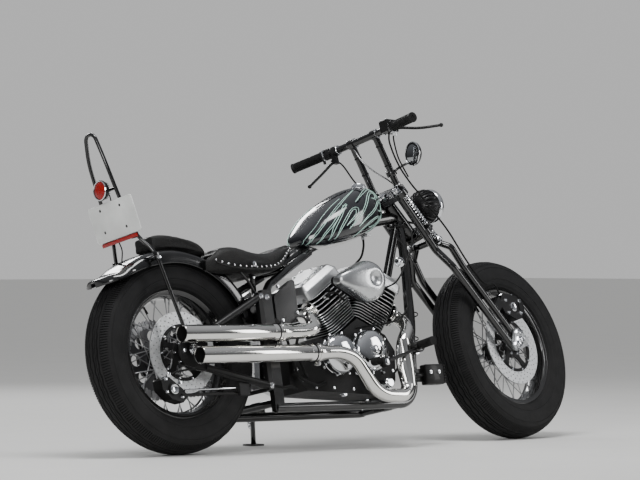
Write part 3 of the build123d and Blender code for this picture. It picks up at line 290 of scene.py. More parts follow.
class Finish:
    """Base of every finish: a material with a Principled shader fed by the shared effects."""

    cache: dict[str, bpy.types.Material] = {}

    def shader(self, name: str) -> tuple[bpy.types.Material, bpy.types.NodeTree, bpy.types.Node, bpy.types.Node]:
        """Starts a material.

        Args:
            name: the material's name.

        Returns:
            The material, its tree, its Principled node and its coordinate node.
        """
        material = bpy.data.materials.new(name)
        material.use_nodes = True
        tree = material.node_tree
        principled = tree.nodes["Principled BSDF"]
        place = tree.nodes.new("ShaderNodeTexCoord")
        return material, tree, principled, place

    def group(
        self, tree: bpy.types.NodeTree, source: bpy.types.NodeTree, vector: bpy.types.NodeSocket, **values: float
    ) -> bpy.types.Node:
        """Places a shared effect in a material with its own values.

        Args:
            tree: the material's tree.
            source: the effect's group.
            vector: the coordinates it is drawn in.
            values: its inputs by name.

        Returns:
            The effect's node.
        """
        node = tree.nodes.new("ShaderNodeGroup")
        node.node_tree = source
        tree.links.new(vector, node.inputs["Vector"])
        for label, value in values.items():
            node.inputs[label].default_value = value
        return node

    def mixed(
        self, tree: bpy.types.NodeTree, mask: bpy.types.NodeSocket, low: object, high: object
    ) -> bpy.types.NodeSocket:
        """Two colours mixed by a mask; either colour may be a socket.

        Args:
            tree: the material's tree.
            mask: the mask's socket.
            low: the colour where the mask is 0.
            high: the colour where it is 1.

        Returns:
            The mixed colour's socket.
        """
        node = tree.nodes.new("ShaderNodeMix")
        node.data_type = "RGBA"
        tree.links.new(mask, node.inputs["Factor"])
        for label, value in (("A", low), ("B", high)):
            socket = next(s for s in node.inputs if s.name == label and s.type == "RGBA")
            if isinstance(value, bpy.types.NodeSocket):
                tree.links.new(value, socket)
            else:
                socket.default_value = value
        return [s for s in node.outputs if s.type == "RGBA"][0]

    def ranged(
        self, tree: bpy.types.NodeTree, value: bpy.types.NodeSocket, low: float, high: float
    ) -> bpy.types.NodeSocket:
        """A mask stretched between two numbers.

        Args:
            tree: the material's tree.
            value: the mask's socket.
            low: the number where the mask is 0.
            high: the number where it is 1.

        Returns:
            The result's socket.
        """
        node = tree.nodes.new("ShaderNodeMapRange")
        node.inputs["To Min"].default_value = low
        node.inputs["To Max"].default_value = high
        tree.links.new(value, node.inputs["Value"])
        return node.outputs["Result"]

    def bump(
        self, tree: bpy.types.NodeTree, principled: bpy.types.Node, height: bpy.types.NodeSocket, depth: float
    ) -> None:
        """Feeds the shader's normal from a height.

        Args:
            tree: the material's tree.
            principled: the shader.
            height: the height's socket.
            depth: how deep it is, in metres.
        """
        node = tree.nodes.new("ShaderNodeBump")
        node.inputs["Distance"].default_value = depth
        node.inputs["Strength"].default_value = 1.0
        tree.links.new(height, node.inputs["Height"])
        tree.links.new(node.outputs["Normal"], principled.inputs["Normal"])

    def build(self) -> bpy.types.Material:
        """Makes the material."""
        raise NotImplementedError

    def material(self) -> bpy.types.Material:
        """The finish's material, made on first use."""
        key = repr(self)
        if key not in self.cache:
            self.cache[key] = self.build()
        return self.cache[key]


@dataclass(frozen=True)
class Metal(Finish):
    """Chrome, polished or cast metal."""

    name: str
    colour: Colour
    roughness: float
    uneven: float = 0.05
    dust: float = 0.25
    scale: float = 14.0
    grain: float = 0.0
    brushed: float = 0.0

    def build(self) -> bpy.types.Material:
        """Makes the material.

        Returns:
            The material.
        """
        material, tree, shader, place = self.shader(self.name)
        where = place.outputs["Object"]
        mottle = self.group(tree, Groups.mottle(), where, Scale=self.scale, Fine=260)
        dust = self.group(tree, Groups.road_dust(), where, Reach=0.5, Amount=self.dust)
        base = self.mixed(tree, mottle.outputs["Patch"], self.colour, shade(self.colour, 0.9))
        base = self.mixed(tree, dust.outputs["Mask"], base, shade(self.colour, 0.72))
        tree.links.new(base, shader.inputs["Base Color"])
        shader.inputs["Metallic"].default_value = 1.0
        rough = tree.nodes.new("ShaderNodeMath")
        rough.operation = "ADD"
        tree.links.new(
            self.ranged(tree, mottle.outputs["Patch"], self.roughness, self.roughness + self.uneven), rough.inputs[0]
        )
        tree.links.new(dust.outputs["Mask"], rough.inputs[1])
        tree.links.new(rough.outputs[0], shader.inputs["Roughness"])
        if self.brushed:
            lines = tree.nodes.new("ShaderNodeTexNoise")
            stretch = tree.nodes.new("ShaderNodeMapping")
            stretch.inputs["Scale"].default_value = (12, 12, 620)
            tree.links.new(where, stretch.inputs["Vector"])
            tree.links.new(stretch.outputs["Vector"], lines.inputs["Vector"])
            lines.inputs["Scale"].default_value = 1.0
            self.bump(tree, shader, lines.outputs["Fac"], self.brushed)
        elif self.grain:
            self.bump(tree, shader, mottle.outputs["Speck"], self.grain)
        return material


@dataclass(frozen=True)
class Paint(Finish):
    """Painted, powder-coated or moulded surface, with light dust near the ground."""

    name: str
    colour: Colour
    roughness: float
    coat: float = 0.0
    dust: float = 0.3
    grain: float = 0.0
    scale: float = 9.0

    def build(self) -> bpy.types.Material:
        """Makes the material.

        Returns:
            The material.
        """
        material, tree, shader, place = self.shader(self.name)
        where = place.outputs["Object"]
        mottle = self.group(tree, Groups.mottle(), where, Scale=self.scale, Fine=420)
        dust = self.group(tree, Groups.road_dust(), where, Reach=0.55, Amount=self.dust)
        lighter = tuple(min(1.0, 1.25 * c + 0.004) for c in self.colour[:3]) + (1.0,)
        base = self.mixed(tree, mottle.outputs["Patch"], self.colour, lighter)
        base = self.mixed(tree, dust.outputs["Mask"], base, (0.22, 0.20, 0.17, 1))
        tree.links.new(base, shader.inputs["Base Color"])
        tree.links.new(
            self.ranged(tree, mottle.outputs["Patch"], self.roughness, self.roughness + 0.08),
            shader.inputs["Roughness"]
        )
        shader.inputs["Coat Weight"].default_value = self.coat
        shader.inputs["Coat Roughness"].default_value = 0.04
        shader.inputs["Specular IOR Level"].default_value = 0.5 if self.roughness < 0.3 else 0.24
        if self.grain:
            self.bump(tree, shader, mottle.outputs["Speck"], self.grain)
        return material


@dataclass(frozen=True)
class Hide(Finish):
    """Black leather with pebbled grain, lighter in random worn patches, with painted shade darkening the creases
    between pebbles.
    """

    name: str = "seat_leather"
    colour: Colour = (0.006, 0.0057, 0.0057, 1)
    roughness: float = 0.40
    scale: float = 430.0
    depth: float = 0.00035

    def build(self) -> bpy.types.Material:
        """Makes the material.

        Returns:
            The material.
        """
        material, tree, shader, place = self.shader(self.name)
        where = place.outputs["Object"]
        grain = self.group(tree, Groups.hide_grain(), where, Scale=self.scale)
        mottle = self.group(tree, Groups.mottle(), where, Scale=16, Fine=300)
        worn = self.mixed(tree, mottle.outputs["Patch"], self.colour, (0.014, 0.013, 0.0125, 1))
        # The creases between pebbles are mixed to a darker colour: painted shade in the grain's low places.
        base = self.mixed(tree, grain.outputs["Crease"], worn, (0.004, 0.004, 0.004, 1))
        tree.links.new(base, shader.inputs["Base Color"])
        tree.links.new(
            self.ranged(tree, grain.outputs["Crease"], self.roughness, self.roughness + 0.25),
            shader.inputs["Roughness"]
        )
        shader.inputs["Specular IOR Level"].default_value = 0.34
        self.bump(tree, shader, grain.outputs["Height"], self.depth)
        return material


@dataclass(frozen=True)
class Rubber(Finish):
    """Black rubber, slightly grey and dusty where it meets the road."""

    name: str = "tyre_rubber"
    colour: Colour = (0.0065, 0.0065, 0.007, 1)
    roughness: float = 0.62
    dust: float = 0.12

    def build(self) -> bpy.types.Material:
        """Makes the material.

        Returns:
            The material.
        """
        material, tree, shader, place = self.shader(self.name)
        where = place.outputs["Object"]
        mottle = self.group(tree, Groups.mottle(), where, Scale=22, Fine=520)
        dust = self.group(tree, Groups.road_dust(), where, Reach=0.75, Amount=self.dust)
        base = self.mixed(tree, mottle.outputs["Patch"], self.colour, shade(self.colour, 1.6))
        base = self.mixed(tree, dust.outputs["Mask"], base, (0.10, 0.095, 0.085, 1))
        tree.links.new(base, shader.inputs["Base Color"])
        tree.links.new(
            self.ranged(tree, mottle.outputs["Speck"], self.roughness, self.roughness + 0.16),
            shader.inputs["Roughness"]
        )
        shader.inputs["Specular IOR Level"].default_value = 0.22
        self.bump(tree, shader, mottle.outputs["Speck"], 0.00025)
        return material


@dataclass(frozen=True)
class Lens(Finish):
    """Coloured or clear lamp glass, slightly uneven."""

    name: str
    colour: Colour
    clear: float = 0.6

    def build(self) -> bpy.types.Material:
        """Makes the material.

        Returns:
            The material.
        """
        material, tree, shader, place = self.shader(self.name)
        mottle = self.group(tree, Groups.mottle(), place.outputs["Object"], Scale=160, Fine=900)
        base = self.mixed(tree, mottle.outputs["Patch"], self.colour, shade(self.colour, 0.7))
        tree.links.new(base, shader.inputs["Base Color"])
        shader.inputs["Roughness"].default_value = 0.08
        shader.inputs["Transmission Weight"].default_value = self.clear
        shader.inputs["IOR"].default_value = 1.5
        self.bump(tree, shader, mottle.outputs["Patch"], 0.0006)
        return material


CHROME = Metal("chrome", (0.82, 0.83, 0.85, 1), 0.045, 0.03, 0.10, 9.0)
POLISHED = Metal("polished_aluminium", (0.78, 0.79, 0.80, 1), 0.14, 0.08, 0.12, 18.0)
CAST = Metal("cast_aluminium", (0.52, 0.53, 0.54, 1), 0.36, 0.12, 0.2, 24.0, 0.0003)
BRUSHED = Metal("brushed_aluminium", (0.66, 0.67, 0.68, 1), 0.24, 0.10, 0.15, 20.0, 0.0, 0.0002)
STEEL = Metal("bare_steel", (0.46, 0.46, 0.47, 1), 0.28, 0.12, 0.3, 30.0, 0.0002)
DISC_STEEL = Metal("disc_steel", (0.82, 0.83, 0.84, 1), 0.38, 0.1, 0.2, 26.0, 0.0, 0.00012)
GLOSS_BLACK = Paint("gloss_black", (0.002, 0.002, 0.0023, 1), 0.12, 0.6, 0.04)
RIM_BLACK = Paint("rim_black", (0.003, 0.003, 0.0033, 1), 0.14, 0.7, 0.05)
SATIN_BLACK = Paint("satin_black", (0.004, 0.004, 0.0044, 1), 0.36, 0.1, 0.05, 0.0001)
ENGINE_BLACK = Paint("engine_black", (0.0045, 0.0045, 0.005, 1), 0.46, 0.0, 0.06, 0.0003, 14.0)
RUBBER = Rubber()
GRIP_RUBBER = Rubber("grip_rubber", (0.005, 0.005, 0.005, 1), 0.5, 0.0)
LEATHER = Hide()
WHITE_PLATE = Paint("plate_white", (0.62, 0.63, 0.62, 1), 0.4, 0.1, 0.1)
RED_LENS = Lens("red_lens", (0.55, 0.012, 0.01, 1), 0.35)
CLEAR_LENS = Lens("clear_lens", (0.93, 0.95, 0.96, 1), 0.92)
EXHAUST_CHROME = Metal("exhaust_chrome", (0.86, 0.85, 0.82, 1), 0.06, 0.05, 0.06, 7.0)
SOOT = Paint("soot_black", (0.004, 0.0037, 0.0035, 1), 0.85, 0.0, 0.0, 0.0004, 30.0)
TANK_PAINT = Paint("tank_paint", (0.0035, 0.004, 0.0065, 1), 0.10, 1.0, 0.0)
STRIPE_PAINT = Paint("stripe_mint", (0.42, 0.62, 0.55, 1), 0.3, 0.5, 0.0)
LEATHER_EDGE = Hide("leather_edge", (0.008, 0.0075, 0.0075, 1), 0.5, 520.0, 0.0002)
MIRROR_GLASS = Metal("mirror_glass", (0.80, 0.83, 0.86, 1), 0.02, 0.01, 0.02, 6.0)
SATIN_ALUMINIUM = Metal("satin_aluminium", (0.70, 0.71, 0.72, 1), 0.38, 0.10, 0.1, 26.0, 0.0001)
DARK_STEEL = Metal("dark_steel", (0.16, 0.16, 0.165, 1), 0.34, 0.1, 0.2, 24.0)


# Making pieces


def along_of(start: Sequence[float], end: Sequence[float]) -> tuple[Vector, Vector, Vector]:
    """A direction and two directions square to it.

    Args:
        start: where the direction starts.
        end: where it points to.

    Returns:
        The direction and its two cross directions, all of length one.
    """
    axis = (Vector(end) - Vector(start)).normalized()
    helper = Vector((0, 1, 0)) if abs(axis.y) < 0.9 else Vector((0, 0, 1))
    side = axis.cross(helper).normalized()
    return axis, side, axis.cross(side)


def eased(points: Sequence[Sequence[float]], steps: int = 8) -> list[Vector]:
    """A smooth path through points.

    Args:
        points: the places it goes through.
        steps: how many parts each run is cut into.

    Returns:
        The places along the path.
    """
    p = [Vector(q) for q in points]
    ends = [2 * p[0] - p[1]] + p + [2 * p[-1] - p[-2]]
    path = []
    for n in range(1, len(ends) - 2):
        a, b, c, d = ends[n - 1], ends[n], ends[n + 1], ends[n + 2]
        for k in range(steps):
            t = k / steps
            bend, twist = 2 * a - 5 * b + 4 * c - d, 3 * b - a - 3 * c + d
            path.append(0.5 * (2 * b + (c - a) * t + bend * t * t + twist * t ** 3))
    return path + [p[-1]]


def bent(points: Sequence[Sequence[float]], steps: int = 9) -> list[Vector]:
    """A path of straight runs joined by round bends.

    Args:
        points: the corners.
        steps: how many parts each bend is cut into.

    Returns:
        The places along the path.
    """
    p = [Vector(q) for q in points]
    path = [p[0]]
    for n in range(1, len(p) - 1):
        back, on = (p[n - 1] - p[n]), (p[n + 1] - p[n])
        turn = math.pi - back.angle(on)
        reach = 0.45 * min(back.length, on.length)
        first, last = p[n] + back.normalized() * reach, p[n] + on.normalized() * reach
        for k in range(steps + 1):
            t = k / steps
            w = math.cos(turn / 2)
            q = (1 - t) ** 2, 2 * t * (1 - t) * w, t * t
            path.append((first * q[0] + p[n] * q[1] + last * q[2]) / sum(q))
    return path + [p[-1]]


class Shape:
    """Points and faces gathered in the drawing's millimetres, each face marked with the number of its finish."""

    def __init__(self) -> None:
        """Starts an empty shape."""
        self.points: list[Vector] = []
        self.faces: list[tuple[int, ...]] = []
        self.marks: list[int] = []

    def add(self, points: Iterable[Sequence[float]], faces: Iterable[Sequence[int]], mark: int = 0) -> "Shape":
        """Adds points and the faces between them.

        Args:
            points: places.
            faces: numbers of the added points, counted from their first.
            mark: the finish's number.

        Returns:
            The shape itself.
        """
        first = len(self.points)
        self.points += [Vector(p) for p in points]
        for face in faces:
            self.faces.append(tuple(first + n for n in face))
            self.marks.append(mark)
        return self

    def rings(
        self, rings: Sequence[Sequence[Sequence[float]]], mark: int = 0, ends: bool = True, closed: bool = False
    ) -> "Shape":
        """Skins rings of equally many points, one after the other.

        Args:
            rings: the rings.
            mark: the finish's number.
            ends: whether the first and last rings are closed with a face.
            closed: whether the last ring joins the first.

        Returns:
            The shape itself.
        """
        count = len(rings[0])
        points = [p for ring in rings for p in ring]
        faces = []
        spans = len(rings) if closed else len(rings) - 1
        for n in range(spans):
            low, high = n * count, ((n + 1) % len(rings)) * count
            for k in range(count):
                j = (k + 1) % count
                faces.append((low + k, low + j, high + j, high + k))
        if ends and not closed:
            faces.append(tuple(range(count))[::-1])
            faces.append(tuple(range((len(rings) - 1) * count, len(rings) * count)))
        return self.add(points, faces, mark)

    def tube(
        self, path: Sequence[Sequence[float]], radius: float | Sequence[float], sides: int = 14, mark: int = 0,
        closed: bool = False
    ) -> "Shape":
        """A round tube along a path.

        Args:
            path: the places along it.
            radius: one radius, or one for each place.
            sides: how many sides it has.
            mark: the finish's number.
            closed: whether it is a loop.

        Returns:
            The shape itself.
        """
        p = [Vector(q) for q in path]
        sizes = [radius] * len(p) if isinstance(radius, (int, float)) else list(radius)
        rings = []
        side = None
        for n, at in enumerate(p):
            if closed:
                axis = (p[(n + 1) % len(p)] - p[n - 1]).normalized()
            else:
                axis = (p[min(n + 1, len(p) - 1)] - p[max(n - 1, 0)]).normalized()
            side = along_of((0, 0, 0), axis)[1] if side is None else (side - axis * side.dot(axis)).normalized()
            up = axis.cross(side)
            turns = [2 * math.pi * k / sides for k in range(sides)]
            rings.append([at + (side * math.cos(a) + up * math.sin(a)) * sizes[n] for a in turns])
        return self.rings(rings, mark, True, closed)

    def rod(
        self, start: Sequence[float], end: Sequence[float], radius: float, soft: float = 0.0, sides: int = 20,
        mark: int = 0
    ) -> "Shape":
        """A round bar with softened ends.

        Args:
            start: the middle of one end.
            end: the middle of the other.
            radius: its radius.
            soft: how far its rims are rounded.
            sides: how many sides it has.
            mark: the finish's number.

        Returns:
            The shape itself.
        """
        length = (Vector(end) - Vector(start)).length
        profile = [(0, 0), (radius, 0), (radius, length), (0, length)]
        if soft:
            profile = [
                (0, 0), (radius - soft, 0), (radius - soft * 0.3, soft * 0.3), (radius, soft), (radius, length - soft),
                (radius - soft * 0.3, length - soft * 0.3), (radius - soft, length), (0, length)
            ]
        return self.spun(profile, start, Vector(end) - Vector(start), sides, mark)

    def spun(
        self, profile: Sequence[tuple[float, float]], at: Sequence[float], axis: Sequence[float], sides: int = 40,
        mark: int = 0, closed: bool = False
    ) -> "Shape":
        """A turned form.

        Args:
            profile: pairs of radius and distance along the axis.
            at: the axis's start.
            axis: its direction.
            sides: how many sides it has.
            mark: the finish's number.
            closed: whether the profile is a loop of its own, as of a ring.

        Returns:
            The shape itself.
        """
        out, side, up = along_of((0, 0, 0), axis)
        turns = [
            side * math.cos(2 * math.pi * k / sides) + up * math.sin(2 * math.pi * k / sides) for k in range(sides)
        ]
        rings = [[Vector(at) + out * z + t * r for t in turns] for r, z in profile]
        first = len(self.points)
        self.rings(rings, mark, False, closed)
        if not closed:
            for n in (0, len(profile) - 1):
                if profile[n][0] > 1e-6:
                    ring = tuple(first + n * sides + k for k in range(sides))
                    self.faces.append(ring[::-1] if n == 0 else ring)
                    self.marks.append(mark)
        return self

    def slab(
        self, outline: Sequence[Sequence[float]], y0: float, y1: float, soft: float = 0.0, mark: int = 0
    ) -> "Shape":
        """A plate across the machine with softened edges.

        Args:
            outline: its x and z corners, in order.
            y0: its inner side.
            y1: its outer side, whose edge is softened.
            soft: how far that edge is rounded.
            mark: the finish's number.

        Returns:
            The shape itself.
        """
        middle = Vector((sum(p[0] for p in outline) / len(outline), sum(p[1] for p in outline) / len(outline)))

        def ring(y: float, inset: float) -> list[Vector]:
            """The outline at y, drawn in by an amount.

            Args:
                y: its place across the machine.
                inset: how far it is drawn in.

            Returns:
                Its points.
            """
            drawn = []
            for n, q in enumerate(outline):
                before, after = Vector(outline[n - 1][:2]), Vector(outline[(n + 1) % len(outline)][:2])
                q = Vector(q[:2])
                a, b = (q - before).normalized(), (after - q).normalized()
                normal = Vector((-(a + b).y, (a + b).x)).normalized()
                if normal.dot(middle - q) < 0:
                    normal = -normal
                drawn.append((q + normal * inset).to_3d())
            return [Vector((q.x, y, q.y)) for q in drawn]

        s = soft if y1 > y0 else -soft
        rings = [ring(y0, 0), ring(y1, 0)] if not soft else [
            ring(y0, 0), ring(y1 - s, 0), ring(y1 - 0.3 * s, 0.3 * soft), ring(y1, soft)
        ]
        return self.rings(rings, mark)

    def box(
        self, at: Sequence[float], size: Sequence[float], turn: Matrix | None = None, soft: float = 1.0, mark: int = 0
    ) -> "Shape":
        """A box with bevelled edges.

        Args:
            at: its middle.
            size: its three lengths.
            turn: how it is turned.
            soft: the bevel.
            mark: the finish's number.

        Returns:
            The shape itself.
        """
        turn = turn or Matrix.Identity(3)
        work = bmesh.new()
        bmesh.ops.create_cube(work, size=1.0)
        for v in work.verts:
            v.co = Vector([v.co[n] * size[n] for n in range(3)])
        if soft:
            bmesh.ops.bevel(work, geom=list(work.edges), offset=soft, segments=2, profile=0.5, affect="EDGES")
        work.verts.ensure_lookup_table()
        self.add([Vector(at) + turn @ v.co for v in work.verts], [[v.index for v in f.verts] for f in work.faces], mark)
        work.free()
        return self

    def nut(self, at: Sequence[float], axis: Sequence[float], size: float, height: float, mark: int = 0) -> "Shape":
        """A six-sided nut with a rounded stud end.

        Args:
            at: the middle of its foot.
            axis: the way it stands.
            size: its radius to a corner.
            height: how tall it is.
            mark: the finish's number.

        Returns:
            The shape itself.
        """
        self.spun(
            [(0, 0), (size * 1.15, 0), (size * 1.15, height * 0.16), (size * 0.9, height * 0.16)], at, axis, 20, mark
        )
        self.spun([(size, height * 0.1), (size, height * 0.85), (size * 0.86, height)], at, axis, 6, mark)
        return self.spun(
            [(size * 0.5, height * 0.9), (size * 0.5, height * 1.15), (size * 0.3, height * 1.3), (0, height * 1.32)],
            at, axis, 12, mark
        )

    def screw(self, at: Sequence[float], axis: Sequence[float], size: float, mark: int = 0) -> "Shape":
        """A round head with a six-sided socket.

        Args:
            at: the middle of its foot.
            axis: the way it stands.
            size: its radius.
            mark: the finish's number.

        Returns:
            The shape itself.
        """
        rim = [
            (size, 0), (size, size * 0.55), (size * 0.9, size * 0.75), (size * 0.55, size * 0.78),
            (size * 0.5, size * 0.3), (0, size * 0.3)
        ]
        return self.spun([(0, 0)] + rim, at, axis, 12, mark)

    def weld(
        self, centre: Sequence[float], normal: Sequence[float], radius: float, size: float = 2.5, mark: int = 0
    ) -> "Shape":
        """A ring of weld or seal round a joint.

        Args:
            centre: its middle.
            normal: its axis.
            radius: its radius.
            size: how thick it is.
            mark: the finish's number.

        Returns:
            The shape itself.
        """
        profile = [(radius + size * math.cos(a), size * math.sin(a)) for a in (2 * math.pi * k / 8 for k in range(8))]
        return self.spun(profile, centre, normal, 28, mark, True)

    def mesh(self, name: str) -> bpy.types.Mesh:
        """The shape as a mesh.

        Args:
            name: the mesh's name.

        Returns:
            The mesh, in the drawing's millimetres.
        """
        mesh = bpy.data.meshes.new(name)
        mesh.from_pydata([tuple(p) for p in self.points], [], self.faces)
        mesh.polygons.foreach_set("material_index", self.marks)
        mesh.update()
        return mesh


class Make:
    """Ways of setting meshes down on a body, dressed."""

    @staticmethod
    def piece(
        name: str, made: Shape | bpy.types.Mesh, body: Body, finish: Finish | Sequence[Finish], smooth: float = 38.0,
        instead: Sequence[str] = (), placed: bool = False
    ) -> bpy.types.Object:
        """Sets a drawing shape down on its body.

        Args:
            name: the piece's name.
            made: a shape or mesh in the drawing's millimetres.
            body: what it rides on.
            finish: its finish, or one for each mark.
            smooth: the angle in degrees under which edges are shaded smooth.
            instead: the solids that it replaces.
            placed: whether the mesh already lies in the shared frame.

        Returns:
            The piece, at the origin with its place in its mesh.
        """
        mesh = made.mesh(name) if isinstance(made, Shape) else made
        work = bmesh.new()
        work.from_mesh(mesh)
        if not placed:
            bmesh.ops.remove_doubles(work, verts=work.verts, dist=0.004)
            bmesh.ops.dissolve_degenerate(work, dist=0.002, edges=work.edges)
            bmesh.ops.recalc_face_normals(work, faces=work.faces)
            work.transform(STANCE.of(body))
        work.to_mesh(mesh)
        work.free()
        mesh.name = name
        marks = [0] * len(mesh.polygons)
        mesh.polygons.foreach_get("material_index", marks)
        mesh.materials.clear()
        for one in [finish] if isinstance(finish, Finish) else finish:
            mesh.materials.append(one.material())
        mesh.polygons.foreach_set("material_index", marks if len(mesh.materials) > 1 else [0] * len(marks))
        mesh.polygons.foreach_set("use_smooth", [True] * len(mesh.polygons))
        mesh.set_sharp_from_angle(angle=math.radians(smooth))
        made_object = bpy.data.objects.new(name, mesh)
        bpy.context.scene.collection.objects.link(made_object)
        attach(made_object, body.value)
        if instead:
            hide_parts(*[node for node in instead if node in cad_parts])
        return made_object

    @staticmethod
    def dress(node: str, finish: Finish) -> bpy.types.Object:
        """Gives a solid that stays a better material.

        Args:
            node: the solid's name.
            finish: its finish.

        Returns:
            The solid.
        """
        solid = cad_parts[node]
        solid.data.materials.clear()
        solid.data.materials.append(finish.material())
        solid.data.polygons.foreach_set("material_index", [0] * len(solid.data.polygons))
        return solid


class Repeat:
    """Geometry node trees for what repeats: round an axle, along a line or along a path."""

    trees: dict[str, bpy.types.NodeTree] = {}

    @classmethod
    def tree(cls, kind: str) -> bpy.types.NodeTree:
        """A tree that repeats an object.

        Args:
            kind: "turns" for round an axis, "row" for a straight row, "path" for along a curve and turned
                with it, "along" for along a curve unturned.

        Returns:
            The node tree.
        """
        if kind in cls.trees:
            return cls.trees[kind]
        tree = bpy.data.node_groups.new("repeat_" + kind, "GeometryNodeTree")
        for label, sort in (
            ("Geometry", "Geometry"), ("Item", "Object"), ("Count", "Int"), ("Step", "Vector"), ("Start", "Vector"),
            ("First Size", "Float"), ("Growth", "Float"), ("Finish", "Material"),
        ):
            tree.interface.new_socket(label, in_out="INPUT", socket_type="NodeSocket" + sort)
        tree.interface.new_socket("Geometry", in_out="OUTPUT", socket_type="NodeSocketGeometry")
        node, link = tree.nodes.new, tree.links.new
        take, give = node("NodeGroupInput"), node("NodeGroupOutput")
        item = node("GeometryNodeObjectInfo")
        index = node("GeometryNodeInputIndex")
        spread = node("ShaderNodeVectorMath")
        spread.operation = "MULTIPLY_ADD"
        size = node("ShaderNodeMath")
        size.operation = "MULTIPLY_ADD"
        put = node("GeometryNodeInstanceOnPoints")
        real = node("GeometryNodeRealizeInstances")
        dress = node("GeometryNodeSetMaterial")
        link(take.outputs["Item"], item.inputs["Object"])
        link(index.outputs[0], spread.inputs[0])
        link(take.outputs["Step"], spread.inputs[1])
        link(take.outputs["Start"], spread.inputs[2])
        link(index.outputs[0], size.inputs[0])
        link(take.outputs["Growth"], size.inputs[1])
        link(take.outputs["First Size"], size.inputs[2])
        link(item.outputs["Geometry"], put.inputs["Instance"])
        link(size.outputs[0], put.inputs["Scale"])
        if kind in ("path", "along"):
            cut = node("GeometryNodeResampleCurve")
            way = node("GeometryNodeInputTangent")
            aim = node("FunctionNodeAlignRotationToVector")
            link(take.outputs["Geometry"], cut.inputs["Curve"])
            link(take.outputs["Count"], cut.inputs["Count"])
            link(way.outputs[0], aim.inputs["Vector"])
            if kind == "path":
                link(aim.outputs[0], put.inputs["Rotation"])
            link(cut.outputs[0], put.inputs["Points"])
        else:
            dots = node("GeometryNodePoints")
            link(take.outputs["Count"], dots.inputs["Count"])
            link(dots.outputs[0], put.inputs["Points"])
            link(spread.outputs[0], dots.inputs["Position"] if kind == "row" else put.inputs["Rotation"])
        link(put.outputs[0], real.inputs[0])
        link(real.outputs[0], dress.inputs["Geometry"])
        link(take.outputs["Finish"], dress.inputs["Material"])
        link(dress.outputs[0], give.inputs[0])
        cls.trees[kind] = tree
        return tree

    @classmethod
    def run(
        cls, kind: str, item: Shape, count: int, finish: Finish, step: Point = (0, 0, 0), start: Point = (0, 0, 0),
        first_size: float = 1.0, growth: float = 0.0, path: Sequence[Sequence[float]] | None = None,
        closed: bool = False, place: Matrix | None = None
    ) -> Shape:
        """Repeats a shape.

        Args:
            kind: the tree's kind.
            item: what is repeated, round the drawing's zero.
            count: how many.
            finish: its finish.
            step: the turn in radians or the distance from one to the next.
            start: the turn or place of the first.
            first_size: the scale of the first.
            growth: what each adds to the scale.
            path: the places of a path's line.
            closed: whether the path is a loop.
            place: where the result goes.

        Returns:
            The repeated shape, in the drawing.
        """
        seed = bpy.data.objects.new("item", item.mesh("item"))
        if path is None:
            host_data: bpy.types.ID = bpy.data.meshes.new("host")
        else:
            host_data = bpy.data.curves.new("host", "CURVE")
            host_data.dimensions = "3D"
            line = host_data.splines.new("POLY")
            line.points.add(len(path) - 1)
            for dot, at in zip(line.points, path):
                dot.co = (*at, 1.0)
            line.use_cyclic_u = closed
        host = bpy.data.objects.new("host", host_data)
        for thing in (seed, host):
            bpy.context.scene.collection.objects.link(thing)
        tree = cls.tree(kind)
        modifier = host.modifiers.new("repeat", "NODES")
        modifier.node_group = tree
        values = {
            "Item": seed, "Count": count, "Step": step, "Start": start,
            "First Size": first_size, "Growth": growth, "Finish": finish.material(),
        }
        for socket in tree.interface.items_tree:
            if socket.in_out == "INPUT" and socket.name in values:
                modifier[socket.identifier] = values[socket.name]
        bpy.context.view_layer.update()
        made = bpy.data.meshes.new_from_object(host.evaluated_get(bpy.context.evaluated_depsgraph_get()))
        host.modifiers.remove(modifier)
        place = place or Matrix.Identity(4)
        out = Shape()
        out.add([place @ v.co for v in made.vertices], [tuple(f.vertices) for f in made.polygons])
        for thing in (seed, host):
            bpy.data.objects.remove(thing)
        bpy.data.meshes.remove(made)
        return out


class Assembly:
    """Base of the sub-assemblies."""

    def build(self) -> list[bpy.types.Object]:
        """Makes and dresses the pieces."""
        raise NotImplementedError


def belt(circles: Sequence[tuple[Vector, float]], count: int, inset: float = 0.0) -> list[Vector]:
    """The outline of a belt round circles.

    Args:
        circles: pairs of a middle and a radius.
        count: how many places it has.
        inset: how far it is drawn in.

    Returns:
        The places round it.
    """
    out = []
    for k in range(count):
        n = Vector((math.cos(2 * math.pi * k / count), math.sin(2 * math.pi * k / count)))
        middle, radius = max(circles, key=lambda c: c[0].dot(n) + c[1])
        out.append(middle + n * (radius - inset))
    return out


def join(*shapes: tuple[Shape, int]) -> Shape:
    """One shape from several, each with the number of its finish.

    Args:
        shapes: pairs of a shape and its finish's number; a number of -1 keeps the shape's own marks.

    Returns:
        The joined shape.
    """
    out = Shape()
    for shape, mark in shapes:
        first = len(out.points)
        out.points += shape.points
        out.faces += [tuple(first + n for n in face) for face in shape.faces]
        out.marks += shape.marks if mark < 0 else [mark] * len(shape.faces)
    return out


# Solids that keep their shape


